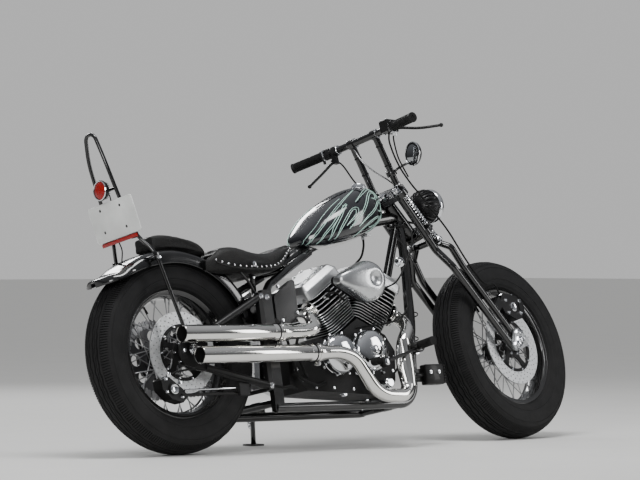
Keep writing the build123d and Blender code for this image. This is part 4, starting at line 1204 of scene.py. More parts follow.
@dataclass
class Solids(Assembly):
    """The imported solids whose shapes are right, each with its finish."""

    finishes: dict[str, Finish] = field(default_factory=lambda: {
        "frame": GLOSS_BLACK, "swing_arm": SATIN_BLACK, "tank": GLOSS_BLACK, "filler_cap": CHROME,
        "seat": LEATHER, "seat_bracket": SATIN_BLACK, "side_panel": GLOSS_BLACK, "rear_fender": GLOSS_BLACK,
        "sissy_bar": GLOSS_BLACK, "pillion_pad": LEATHER, "number_plate": WHITE_PLATE, "tail_lamp": SATIN_BLACK,
        "reflector_bar": RED_LENS, "crankcase": ENGINE_BLACK, "round_covers": CHROME,
        "cylinder_rear": ENGINE_BLACK, "cylinder_front": ENGINE_BLACK, "rocker_cover_rear": BRUSHED,
        "rocker_cover_front": BRUSHED, "air_cleaner": POLISHED, "drive_cover": POLISHED, "drive_chain": STEEL,
        "exhaust_upper": CHROME, "exhaust_lower": CHROME, "foot_controls": SATIN_BLACK, "regulator": SATIN_BLACK,
        "rear_caliper": SATIN_BLACK, "fork_rear_legs": GLOSS_BLACK, "fork_spring_legs": GLOSS_BLACK,
        "fork_springs": CHROME, "rockers": CAST, "front_caliper": SATIN_BLACK, "headlight": SATIN_BLACK,
        "handlebar": GLOSS_BLACK, "grips": GRIP_RUBBER, "mirror": CHROME, "front_tyre": RUBBER,
        "front_rim": GLOSS_BLACK, "front_spokes": SATIN_BLACK, "front_disc": DISC_STEEL, "rear_tyre": RUBBER,
        "rear_rim": GLOSS_BLACK, "rear_spokes": STEEL, "rear_disc": DISC_STEEL, "rear_sprocket": DARK_STEEL,
        "side_stand": GLOSS_BLACK, "oil_filter": CHROME, "carburettor": CAST, "hand_controls": SATIN_BLACK,
        "levers": SATIN_BLACK, "brake_hose": GRIP_RUBBER,
    })

    def build(self) -> list[bpy.types.Object]:
        """Dresses each solid that is packed."""
        return [Make.dress(node, finish) for node, finish in self.finishes.items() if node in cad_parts]


# Wheels


@dataclass
class Tyre:
    """A wire wheel's tyre: ribs round the middle, cut lugs on both shoulders, rings on the walls."""

    centre: float
    radius: float = AXLE
    half: float = 69.0
    crown: float = 92.0
    shoulder: float = 56.0
    foot: float = 222.0
    bead: float = 41.0
    seat: float = 204.0
    around: int = 180
    lugs: int = 224
    lug_width: float = 5.9

    def height(self, y: float) -> float:
        """The tread's radius at y."""
        return self.radius - self.crown + math.sqrt(self.crown ** 2 - y * y)

    def wall(self, r: float) -> float:
        """The side wall's half width at a radius."""
        return self.shoulder + (self.half - self.shoulder - 0.8) * (1 - ((r - 268) / 45) ** 2)

    def profile(self) -> list[tuple[float, float, float]]:
        """One half from the middle to the bead, as y, radius and how much it zigzags.

        Returns:
            The rows of that half.
        """
        out = [(0.0, self.height(0), 0.0)]
        for middle, wide, deep, zig in ((9.0, 2.4, 6.0, 1.5), (17.8, 1.1, 3.4, 0.0), (26.5, 2.4, 6.0, 1.5)):
            for shift, drop in ((-wide - 0.5, 0.0), (-wide + 0.4, deep), (wide - 0.4, deep), (wide + 0.5, 0.0)):
                out.append((middle + shift, self.height(middle + shift) - drop, zig))
        for y, drop in ((36.0, 0.0), (36.8, 6.4), (46.0, 6.4), (54.0, 5.6)):
            out.append((y, self.height(y) - drop, 0.0))
        rings = [(305, -1.5), (300, -1.2), (297.5, -0.2), (294, -0.2), (292.5, -1.6), (290.5, -1.6), (289, -0.1)]
        rings += [
            (280, 0), (268, 0), (256, 0), (250, 0), (248.8, -1.1), (246.8, -1.1), (245.6, 0), (238, 0), (234, 0.8),
            (230, 0.8), (227, -0.8)
        ]
        out += [(self.wall(r) + lift, float(r), 0.0) for r, lift in rings]
        return out + [
            (self.wall(self.foot), self.foot, 0.0), (self.bead + 5, self.foot - 5, 0.0), (self.bead, self.seat, 0.0)
        ]

    def shape(self) -> Shape:
        """The whole tyre with its shoulder lugs.

        Returns:
            The tyre.
        """
        half = self.profile()
        loop = [(-y, r, -z) for y, r, z in reversed(half[1:])] + half
        body = Shape()
        rings = []
        for y, r, zig in loop:
            ring = []
            for k in range(self.around):
                a = 2 * math.pi * k / self.around
                shift = zig if k % 4 in (0, 1) else -zig
                ring.append((self.centre + r * math.cos(a), y + shift, AXLE + r * math.sin(a)))
            rings.append(ring)
        body.rings(rings, 0, False, True)
        out = [(body, 0)]
        w = self.lug_width / 2
        stations = [(37.6, 0.0), (46.0, 0.0), (54.5, 0.0), (59.0, 2.6)]
        for side in (-1, 1):
            lug = Shape()
            rings = []
            for y, drop in stations:
                top = self.height(y) - drop - 0.2
                slant = 2.0 * (y - 37) / 20 * side
                rings.append([
                    (top - 8.5, side * y, slant - w), (top - 0.6, side * y, slant - w),
                    (top, side * y, slant - w + 0.8), (top, side * y, slant + w - 0.8),
                    (top - 0.6, side * y, slant + w), (top - 8.5, side * y, slant + w)
                ])
            lug.rings(rings)
            place = Matrix.Translation((self.centre, 0, AXLE))
            out.append((
                Repeat.run("turns", lug, self.lugs, RUBBER, step=(0, 2 * math.pi / self.lugs, 0), place=place), 0
            ))
        return join(*out)


@dataclass
class Disc:
    """A drilled brake disc: a bright band of staggered holes on a dark carrier with round-headed bolts."""

    centre: float
    y: float
    radius: float
    inner: float
    cells: int
    rows: int = 4
    hole: float = 3.0
    thick: float = 4.6
    arms: int = 5

    def cell(self, r0: float, r1: float, turn: float) -> Shape:
        """A piece of the band round one hole.

        Args:
            r0: its inner radius.
            r1: its outer radius.
            turn: the angle of its middle.

        Returns:
            The piece, round the drawing's zero.
        """
        half = math.pi / self.cells
        middle = (r0 + r1) / 2
        corners = [(r1, -half), (r1, 0), (r1, half), (middle, half), (r0, half), (r0, 0), (r0, -half), (middle, -half)]
        outer = [(r * math.cos(turn + a), r * math.sin(turn + a)) for r, a in corners]
        spot = (middle * math.cos(turn), middle * math.sin(turn))
        inner = []
        for x, z in outer:
            away = Vector((x - spot[0], z - spot[1])).normalized() * self.hole
            inner.append((spot[0] + away.x, spot[1] + away.y))
        out = Shape()
        t = self.thick / 2
        rings = [[(x, side, z) for x, z in ring] for ring, side in ((outer, -t), (inner, -t), (inner, t), (outer, t))]
        return out.rings(rings, 0, False)

    def shapes(self) -> list[Shape]:
        """The band, the carrier and the bolts.

        Returns:
            The band, the carrier, the band's bolts and the hub's bolts.
        """
        item = []
        step = (self.radius - self.inner) / self.rows
        for row in range(self.rows):
            turn = math.pi / self.cells * (row % 2)
            item.append((self.cell(self.inner + row * step, self.inner + (row + 1) * step, turn), 0))
        place = Matrix.Translation((self.centre, self.y, AXLE))
        band = Repeat.run(
            "turns", join(*item), self.cells, DISC_STEEL, step=(0, 2 * math.pi / self.cells, 0), place=place
        )
        t = self.thick / 2
        for r in (self.radius, self.inner):
            wall = Shape().spun([(r, -t), (r, t)], (self.centre, self.y, AXLE), (0, 1, 0), self.cells * 2)
            wall.faces, wall.marks = wall.faces[: self.cells * 2], wall.marks[: self.cells * 2]
            band = join((band, 0), (wall, 0))
        carrier = Shape().spun(
            [(27, -3), (42, -3), (43, -2), (43, 2), (42, 3), (27, 3)], (self.centre, self.y, AXLE), (0, 1, 0), 48, 0,
            True
        )
        carrier.spun(
            [(self.inner - 11, -2.4), (self.inner + 1.5, -2.4), (self.inner + 1.5, 2.4), (self.inner - 11, 2.4)],
            (self.centre, self.y, AXLE), (0, 1, 0), 60, 0, True
        )
        arm = Shape()
        lean = 26.0
        rings = []
        for k in range(6):
            s = k / 5
            r, wide, shift = 38 + (self.inner - 46) * s, 15 - 5 * math.sin(math.pi * s), lean * s
            rings.append([
                (r, -2.4, shift - wide), (r, 2.4, shift - wide), (r, 2.4, shift + wide), (r, -2.4, shift + wide)
            ])
        arm.rings(rings)
        carrier = join(
            (carrier, 0),
            (Repeat.run("turns", arm, self.arms, SATIN_BLACK, step=(0, 2 * math.pi / self.arms, 0), place=place), 0)
        )
        out = -1 if self.y < 0 else 1
        bolt = Shape().screw((self.inner - 4.5, out * 2.4, 0), (0, out, 0), 4.6)
        bolts = Repeat.run("turns", bolt, self.arms * 2, CHROME, step=(0, math.pi / self.arms, 0), place=place)
        hub_bolt = Shape().screw((35.5, out * 3, 0), (0, out, 0), 5.4)
        return [band, carrier, bolts, Repeat.run("turns", hub_bolt, 6, CHROME, step=(0, math.pi / 3, 0), place=place)]


@dataclass
class Wheel(Assembly):
    """A wire wheel with its tyre, rim, spokes, hub and disc."""

    name: str
    body: Body
    centre: float
    flange: float
    disc_y: float
    disc_radius: float
    disc_inner: float
    disc_cells: int
    spoke_finish: Finish
    spokes: int = 40
    spoke_radius: float = 1.9
    flange_radius: float = 44.0
    rim_radius: float = 190.0

    def rim(self) -> Shape:
        """The rim with rolled lips and a drop centre.

        Returns:
            The rim.
        """
        half = [
            (190, 0), (190, 12), (191.5, 19), (195, 28), (197.5, 37), (200, 41.5), (204, 43.2), (209, 44.0),
            (211.5, 46.0), (214.5, 46.8), (217, 45.9), (217.8, 43.6), (216.6, 41.4), (203.7, 40.9)
        ]
        loop = [(r, -y) for r, y in reversed(half[1:])] + half
        return Shape().spun(loop, (self.centre, 0, AXLE), (0, 1, 0), 120, 0, True)

    def hub(self) -> Shape:
        """The hub with its two flanges.

        Returns:
            The hub.
        """
        f, big = self.flange, self.flange_radius
        half = [
            (24, 0), (24, f - 26), (26, f - 16), (33, f - 8), (41, f - 4.4), (big, f - 3), (big, f + 2.6),
            (big - 1.5, f + 4), (30, f + 4.4), (27, f + 6.2), (10.4, f + 6.2)
        ]
        loop = [(r, -y) for r, y in reversed(half[1:])] + half
        return Shape().spun(loop, (self.centre, 0, AXLE), (0, 1, 0), 48, 0, True)

    def laced(self) -> tuple[Shape, Shape]:
        """The spokes and the nipples that hold them.

        Returns:
            The spokes, then the nipples.
        """
        wire, nipple = Shape(), Shape()
        for n in range(4):
            side, lace = (1 if n % 2 else -1), (1 if (n // 2) % 2 else -1)
            at_rim = 2 * math.pi * n / self.spokes
            at_hub = at_rim + lace * math.radians(62)
            r = self.flange_radius - 6
            low = Vector((r * math.cos(at_hub), side * self.flange + lace * 3.4, r * math.sin(at_hub)))
            high = Vector((self.rim_radius * math.cos(at_rim), side * 8, self.rim_radius * math.sin(at_rim)))
            wire.tube([low, high], self.spoke_radius, 6)
            way = (low - high).normalized()
            nipple.tube([high - way * 1, high + way * 7, high + way * 15], [3.6, 3.2, 2.6], 6)
        place = Matrix.Translation((self.centre, 0, AXLE))
        turn = (0, 8 * math.pi / self.spokes, 0)
        out = [Repeat.run(
            "turns", item, self.spokes // 4, self.spoke_finish, step=(0, -turn[1], 0), place=place
        ) for item in (wire, nipple)]
        return out[0], out[1]

    def flange_heads(self) -> Shape:
        """Rows of spoke heads on both flanges.

        Returns:
            The heads.
        """
        out = []
        for side in (-1, 1):
            head = Shape().spun(
                [(0, 5.6), (1.8, 5.4), (3.0, 4.6), (3.0, 3.8)], (self.flange_radius - 6, side * self.flange, 0),
                (0, side, 0), 8
            )
            out.append((
                Repeat.run(
                    "turns", head, 20, CHROME, step=(0, math.pi / 10, 0),
                    place=Matrix.Translation((self.centre, 0, AXLE))
                ),
                0
            ))
        return join(*out)

    def valve(self) -> Shape:
        """The tyre's valve.

        Returns:
            The valve.
        """
        a = math.radians(118)
        way = Vector((-math.cos(a), 0, -math.sin(a)))
        at = Vector((self.centre, 0, AXLE)) - way * self.rim_radius
        return Shape().tube([at, at + way * 16, at + way * 17, at + way * 30], [3.4, 3.2, 4.2, 4.0], 10)

    def build(self) -> list[bpy.types.Object]:
        """Makes and dresses the pieces.

        Returns:
            The pieces, each one an object.
        """
        disc = Disc(self.centre, self.disc_y, self.disc_radius, self.disc_inner, self.disc_cells)
        band, carrier, bolts, hub_bolts = disc.shapes()
        wires, nipples = self.laced()
        n, b = self.name, self.body
        return [
            Make.piece(n + "_tyre_tread", Tyre(self.centre).shape(), b, RUBBER, 34, [n + "_tyre"]),
            Make.piece(n + "_rim_hoop", self.rim(), b, RIM_BLACK, 30, [n + "_rim"]),
            Make.piece(n + "_hub", self.hub(), b, SATIN_BLACK, 32, [n + "_spokes"]),
            Make.piece(n + "_wires", join((wires, 0), (nipples, 1)), b, [self.spoke_finish, STEEL], 60),
            Make.piece(n + "_spoke_heads", self.flange_heads(), b, CHROME),
            Make.piece(n + "_valve", self.valve(), b, GRIP_RUBBER),
            Make.piece(n + "_disc_band", band, b, DISC_STEEL, 25, [n + "_disc"]),
            Make.piece(
                n + "_disc_carrier", join((carrier, 0), (bolts, 1), (hub_bolts, 1)), b, [SATIN_BLACK, CHROME], 30
            ),
        ]


# Exhaust


@dataclass
class Muffler:
    """A straight muffler: tapered neck, clamp, joint lines, rolled rear lip and a dark bore."""

    z: float
    front: float
    rear: float
    seam: float
    y: float = -188.0
    radius: float = 29.5
    pipe: float = 23.5

    def shape(self) -> Shape:
        """The muffler, marked 0 outside, 1 in the bore and on its stay, and 2 for the clamp's bolt.

        Returns:
            The muffler.
        """
        f, r, s, big = self.front, self.rear, self.seam, self.radius
        at, way = (r, self.y, self.z), (1, 0, 0)
        outer = [(big - 4.2, 3), (big - 3.6, 0.6), (big - 2.2, 0), (big - 0.6, 0.5), (big, 2.4), (big, 8)]
        outer += [(big, s - r - 2.2), (big + 0.7, s - r - 1.2), (big + 0.7, s - r + 1.2), (big, s - r + 2.2)]
        outer += [
            (big, f - r - 56), (big - 0.4, f - r - 55), (big - 0.4, f - r - 53.8), (big, f - r - 53), (big, f - r - 4),
            (big - 0.6, f - r), (big - 2, f - r + 10), (self.pipe + 2.4, f - r + 20), (self.pipe + 1.2, f - r + 27),
            (self.pipe - 1, f - r + 28)
        ]
        body = Shape().spun(outer[::-1], at, way, 56)
        body.faces, body.marks = body.faces[:-2], body.marks[:-2]
        bore = Shape().spun([(big - 4.2, 3), (big - 4.6, 40), (big - 9, 44), (0, 44)], at, way, 56)
        bore.faces, bore.marks = bore.faces[:-1], bore.marks[:-1]
        clamp = Shape().spun(
            [
                (big + 0.1, -6.5), (big + 2.2, -6.5), (big + 2.7, -5.4), (big + 2.7, 5.4), (big + 2.2, 6.5),
                (big + 0.1, 6.5)
            ],
            (f - 14, self.y, self.z), way, 56, 0, True
        )
        ears = Shape()
        for shift in (-5, 5):
            ears.box((f - 14, self.y + 6 + shift, self.z - big - 7), (12, 3, 13), soft=0.8)
        ears.rod((f - 14, self.y - 8, self.z - big - 8), (f - 14, self.y + 20, self.z - big - 8), 3.2, sides=10, mark=2)
        ears.nut((f - 14, self.y - 1, self.z - big - 8), (0, -1, 0), 6, 6, 2)
        stay = Shape().box((350, self.y + big + 22, self.z), (24, 50, 20), soft=2, mark=1)
        wire = Shape().spun(
            [(self.radius + 0.2, -1.4), (self.radius + 2.8, -1.0), (self.radius + 2.8, 1.0), (self.radius + 0.2, 1.4)],
            (f - 34, self.y, self.z), way, 40, 1, True
        )
        return join((body, 0), (bore, 1), (clamp, 0), (ears, -1), (stay, -1), (wire, -1))


@dataclass
class Exhaust(Assembly):
    """The two pipes and mufflers on the right side."""

    radius: float = 23.5

    def flange(self, at: Point, way: Vector) -> Shape:
        """The port's flange with two studs.

        Args:
            at: where the pipe leaves the head.
            way: its direction there.

        Returns:
            The flange, marked 0, with nuts marked 2.
        """
        side = way.cross(Vector((0, 1, 0))).normalized()
        out = Shape().spun([(23, 2), (33, 2), (34, 4), (34, 8), (32, 10), (23.4, 10)], at, way, 36, 0, True)
        for s in (-1, 1):
            foot = Vector(at) + side * s * 38 + way * 4
            out.rod(foot - way * 2, foot + way * 4, 9, 1, 16)
            out.nut(foot + way * 4, way, 6.5, 6, 2)
        return out

    def build(self) -> list[bpy.types.Object]:
        """Makes and dresses the pieces.

        Returns:
            The pieces, each one an object.
        """
        y = Muffler.y
        x0, z0 = deck(REAR_TILT, -88.3, 240)
        x1, z1 = deck(REAR_TILT, -135, 240)
        upper = [(x0, -62, z0), (x1, -62, z1), (508, -150, 428), (492, y, 386), (440, y, 374), (330, y, 373)]
        a0, b0 = deck(FRONT_TILT, 88.3, 205)
        a1, b1 = deck(FRONT_TILT, 112, 205)
        lower = [
            (a0, -58, b0), (a1, -58, b1), (984, -100, 420), (962, -145, 385), (908, -166, 335), (890, -170, 262),
            (896, -180, 175), (862, y, 147), (745, y, 151), (655, y, 282), (590, y, 303), (500, y, 302)
        ]
        made = []
        for name, route, box in (
            ("upper", upper, Muffler(373, 345, -96, 55)), ("lower", lower, Muffler(302, 500, -30, 126))
        ):
            pipe = Shape().tube(bent(route), self.radius, 32)
            way = (Vector(route[1]) - Vector(route[0])).normalized()
            parts = join((pipe, 0), (box.shape(), -1), (self.flange(route[0], way), -1))
            made.append(Make.piece(
                f"exhaust_{name}_pipe", parts, Body.FRAME, [EXHAUST_CHROME, SOOT, STEEL], 32, [f"exhaust_{name}"]
            ))
        shield = Shape()
        rows = [math.radians(-62 + 124 * n / 12) for n in range(13)]
        rings = []
        for k in range(9):
            s = k / 8
            mid = Vector((901 + 4 * math.sin(3 * s), -171 - 6 * s, 345 - 165 * s))
            turns = [(27.5, a) for a in rows] + [(25.8, a) for a in reversed(rows)]
            rings.append([mid + Vector((math.sin(a) * r, -math.cos(a) * r, 0)) for r, a in turns])
        shield.rings(rings)
        made.append(Make.piece("pipe_shield", shield, Body.FRAME, EXHAUST_CHROME, 40))
        return made


# Tank


@dataclass
class Tank(Assembly):
    """The teardrop tank with its seam, cap, tap and fine flame lines."""

    stations: tuple[tuple[float, float, float, float, float], ...] = (
        (621, 30, 706, 736, 0.5), (628, 50, 700, 748, 0.62), (660, 84, 694, 778, 0.74), (720, 118, 694, 828, 0.9),
        (800, 130, 706, 876, 1.0), (890, 118, 732, 911, 1.0), (965, 80, 768, 904, 0.96), (1000, 42, 796, 876, 0.84),
        (1010, 18, 816, 858, 0.7),
    )
    around: int = 56
    line: float = 1.1
    waist: float = 0.46
    side_curve: float = 0.80
    top_curve: float = 0.86
    belly_curve: float = 0.62

    def station(self, x: float) -> tuple[float, float, float, float]:
        """The half width, low and high edges and roundness at x.

        Args:
            x: distance along the machine.

        Returns:
            The four values.
        """
        p = self.stations
        x = min(max(x, p[0][0]), p[-1][0])
        n = max(k for k in range(len(p) - 1) if p[k][0] <= x)
        a, b, c, d = p[max(n - 1, 0)], p[n], p[n + 1], p[min(n + 2, len(p) - 1)]
        t = (x - b[0]) / (c[0] - b[0])
        out = []
        for k in range(1, 5):
            m0 = (c[k] - a[k]) / max(c[0] - a[0], 1) * (c[0] - b[0])
            m1 = (d[k] - b[k]) / max(d[0] - b[0], 1) * (c[0] - b[0])
            near = (2 * t ** 3 - 3 * t * t + 1) * b[k] + (t ** 3 - 2 * t * t + t) * m0
            out.append(near + (3 * t * t - 2 * t ** 3) * c[k] + (t ** 3 - t * t) * m1)
        return out[0], out[1], out[2], out[3]

    def skin(self, x: float, turn: float, lift: float = 0.0) -> Vector:
        """A place on the tank.

        Args:
            x: distance along the machine.
            turn: angle from the top, to the left where it is positive.
            lift: how far off the skin.

        Returns:
            The place.
        """
        half, low, high, _ = self.station(x)
        c, s = math.cos(turn), math.sin(turn)
        top = low + (high - low) * self.waist
        y = half * math.copysign(abs(s) ** self.side_curve, s)
        z = top + (high - top) * abs(c) ** self.top_curve if c > 0 else top - (top - low) * abs(c) ** self.belly_curve
        out = Vector((x, y, z))
        if lift:
            ahead = self.skin(min(x + 2, 1009), turn) - self.skin(max(x - 2, 622), turn)
            round_ = self.skin(x, turn + 0.02) - self.skin(x, turn - 0.02)
            normal = ahead.cross(round_).normalized()
            if normal.dot(Vector((0, y, z - 790))) < 0:
                normal = -normal
            out += normal * lift
        return out

    def flank(self, side: int, along: float, down: float) -> Vector:
        """A place on one side of the tank.

        Args:
            side: 1 for the left side and -1 for the right.
            along: from 0 at the rear to 1 at the front.
            down: from 0 at the top to 1 at the bottom.

        Returns:
            The place, a little off the skin.
        """
        above = 1 - self.waist
        if down < above:
            cosine = max((above - down) / above, 0.0) ** (1 / self.top_curve)
        else:
            cosine = -(min((down - above) / self.waist, 1.0) ** (1 / self.belly_curve))
        return self.skin(640 + 366 * along, side * math.acos(max(min(cosine, 0.998), -0.96)), 0.1)

    def flame(self, side: int) -> list[Shape]:
        """Fine double flame lines on one side: tips to the rear, round bulbs to the front.

        Args:
            side: 1 for the left side and -1 for the right.

        Returns:
            One tube for each line.
        """
        licks: list[tuple[float, list[tuple[float, float]]]] = [
            (0.0, [(-0.045, 0.92), (-0.04, 0.55), (0.0, 0.30), (0.10, 0.13), (0.24, 0.07), (0.40, 0.05)]),
            (
                0.03,
                [(-0.02, 0.95), (-0.005, 0.62), (0.04, 0.40), (0.12, 0.25), (0.24, 0.15), (0.40, 0.09), (0.60, 0.05)]
            ),
            (
                0.034,
                [
                    (0.05, 0.92), (0.09, 0.62), (0.17, 0.42), (0.27, 0.26), (0.38, 0.18), (0.31, 0.30), (0.23, 0.47),
                    (0.18, 0.64), (0.14, 0.86)
                ]
            ),
            (
                0.034,
                [
                    (0.20, 0.86), (0.24, 0.63), (0.32, 0.43), (0.41, 0.33), (0.48, 0.38), (0.46, 0.50), (0.38, 0.57),
                    (0.31, 0.63)
                ]
            ),
            (
                0.034,
                [
                    (0.34, 0.72), (0.43, 0.60), (0.53, 0.48), (0.60, 0.36), (0.67, 0.24), (0.76, 0.16), (0.84, 0.19),
                    (0.85, 0.28), (0.79, 0.34), (0.72, 0.31)
                ]
            ),
            (
                0.034,
                [
                    (0.48, 0.25), (0.58, 0.18), (0.68, 0.12), (0.80, 0.07), (0.92, 0.17), (0.985, 0.42), (0.975, 0.68),
                    (0.89, 0.86), (0.76, 0.93), (0.62, 0.95)
                ]
            ),
            (
                0.034,
                [
                    (0.47, 0.75), (0.58, 0.64), (0.69, 0.57), (0.77, 0.49), (0.83, 0.39), (0.90, 0.36), (0.945, 0.46),
                    (0.93, 0.60), (0.86, 0.64), (0.81, 0.59)
                ]
            ),
            (
                0.03,
                [
                    (0.44, 0.92), (0.55, 0.80), (0.68, 0.73), (0.80, 0.72), (0.86, 0.78), (0.81, 0.86), (0.70, 0.87),
                    (0.63, 0.84)
                ]
            ),
        ]
        out = []
        for apart, points in licks:
            path = eased([(u, v, 0) for u, v in points], 9)
            for offset in (0.0, apart) if apart else (0.0,):
                places = []
                for n, p in enumerate(path):
                    way = path[min(n + 1, len(path) - 1)] - path[max(n - 1, 0)]
                    normal = Vector((-way.y, way.x, 0)).normalized()
                    near = min(1.0, n / 14, (len(path) - 1 - n) / 14)
                    q = p + normal * offset * near
                    places.append(self.flank(side, min(max(q.x, -0.048), 0.995), min(max(q.y, 0.02), 0.99)))
                out.append(Shape().tube(places, self.line, 6))
        return out

    def build(self) -> list[bpy.types.Object]:
        """Makes and dresses the pieces.

        Returns:
            The pieces, each one an object.
        """
        xs = [621, 622.5, 625, 629, 635, 644, 656, 670] + [684 + 16 * k for k in range(18)] + [
            966, 978, 988, 996, 1002, 1006, 1008.6, 1010
        ]
        body = Shape().rings([[self.skin(
            x, 2 * math.pi * (k + 0.5) / self.around
        ) for k in range(self.around)] for x in xs])
        seam = Shape()
        for side in (-1, 1):
            path = [self.skin(x, side * math.pi * 0.80, 0.6) for x in range(640, 1000, 8)]
            seam.tube(path, 1.6, 8)
        lines = join(*[(one, 0) for side in (-1, 1) for one in self.flame(side)])
        up = Vector((0.2, 0, 0.98)).normalized()
        at = Vector((947, 0, 902)) + up * 2
        cap = Shape().spun([(29.5, -6), (30, 0), (28, 2.4), (25.4, 3), (25.2, 4)], at, up, 48)
        cap.spun([(24.6, 3), (24.8, 20), (23.6, 23), (20.5, 24.6), (12, 26.6), (0, 27.4)], at, up, 48, 1)
        rib = Shape().box((24.8, 0, 12), (1.6, 2.2, 13), soft=0.5)
        turn = along_of((0, 0, 0), up)
        place = Matrix.Translation(at) @ Matrix((turn[1], turn[2], turn[0])).transposed().to_4x4()
        stand = Repeat.run("turns", rib, 32, CHROME, step=(0, 0, math.pi / 16), place=place)
        tap = Shape().rod((905, -38, 752), (905, -38, 722), 7, 1)
        tap.rod((905, -38, 735), (905, -62, 735), 5, 1)
        tap.box((905, -66, 735), (22, 5, 9), soft=1.5)
        tap.tube(bent([(905, -38, 724), (903, -38, 700), (880, -46, 660), (812, -56, 615), (800, -60, 585)]), 4, 10, 1)
        return [
            Make.piece("tank_shell", join((body, 0), (seam, 0)), Body.FRAME, TANK_PAINT, 50, ["tank"]),
            Make.piece("tank_flame_lines", lines, Body.FRAME, STRIPE_PAINT, 60),
            Make.piece("fuel_cap", join((cap, -1), (stand, 1)), Body.FRAME, [GLOSS_BLACK, CHROME], 30, ["filler_cap"]),
            Make.piece("fuel_tap", tap, Body.FRAME, [CAST, GRIP_RUBBER], 36),
        ]


# Seat, pad, fender, plate and lamp


class Stuffing:
    """Padded pieces swelled by cloth simulation."""

    @staticmethod
    def swell(name: str, node: str, voxel: float, cap: float, pressure: float, shrink: float) -> bpy.types.Mesh:
        """A padded mesh from a solid's outline.

        Args:
            name: the mesh's name.
            node: the solid whose space it fills.
            voxel: the remesh size in metres.
            cap: how far a point may move, in metres.
            pressure: the stuffing's pressure.
            shrink: how far it starts inside the solid, in metres.

        Returns:
            The swelled mesh in the shared frame.
        """
        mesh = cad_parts[node].data.copy()
        mesh.name = name
        work = bmesh.new()
        work.from_mesh(mesh)
        bmesh.ops.remove_doubles(work, verts=work.verts, dist=0.00002)
        bmesh.ops.recalc_face_normals(work, faces=work.faces)
        work.to_mesh(mesh)
        work.free()
        pad = bpy.data.objects.new(name, mesh)
        bpy.context.scene.collection.objects.link(pad)
        remesh = pad.modifiers.new("even", "REMESH")
        remesh.mode = "VOXEL"
        remesh.voxel_size = voxel
        even = bpy.data.meshes.new_from_object(pad.evaluated_get(bpy.context.evaluated_depsgraph_get()))
        pad.modifiers.clear()
        pad.data = even
        work = bmesh.new()
        work.from_mesh(even)
        for _ in range(4):
            bmesh.ops.smooth_vert(work, verts=work.verts, factor=0.5, use_axis_x=True, use_axis_y=True, use_axis_z=True)
        for v in work.verts:
            v.co -= v.normal * shrink
        work.to_mesh(even)
        work.free()
        start = np.empty(len(even.vertices) * 3)
        even.vertices.foreach_get("co", start)
        cloth = pad.modifiers.new("stuffing", "CLOTH")
        cloth.settings.use_pressure = True
        cloth.settings.uniform_pressure_force = pressure
        cloth.settings.effector_weights.gravity = 0.0
        cloth.settings.quality = 5
        cloth.point_cache.frame_start, cloth.point_cache.frame_end = 1, 20
        scene = bpy.context.scene
        for step in range(1, 21):
            scene.frame_set(step)
        swelled = bpy.data.meshes.new_from_object(pad.evaluated_get(bpy.context.evaluated_depsgraph_get()))
        pad.modifiers.clear()
        scene.frame_set(1)
        end = np.empty(len(swelled.vertices) * 3)
        swelled.vertices.foreach_get("co", end)
        move = (end - start).reshape(-1, 3)
        length = np.linalg.norm(move, axis=1, keepdims=True)
        move *= np.minimum(1.0, cap / np.maximum(length, 1e-9))
        swelled.vertices.foreach_set("co", (start.reshape(-1, 3) + move).ravel())
        even = swelled
        work = bmesh.new()
        work.from_mesh(even)
        bmesh.ops.smooth_vert(work, verts=work.verts, factor=0.5, use_axis_x=True, use_axis_y=True, use_axis_z=True)
        bmesh.ops.subdivide_edges(work, edges=work.edges, cuts=1, use_grid_fill=True, smooth=0.4)
        work.to_mesh(even)
        work.free()
        bpy.data.objects.remove(pad)
        even.name = name
        return even


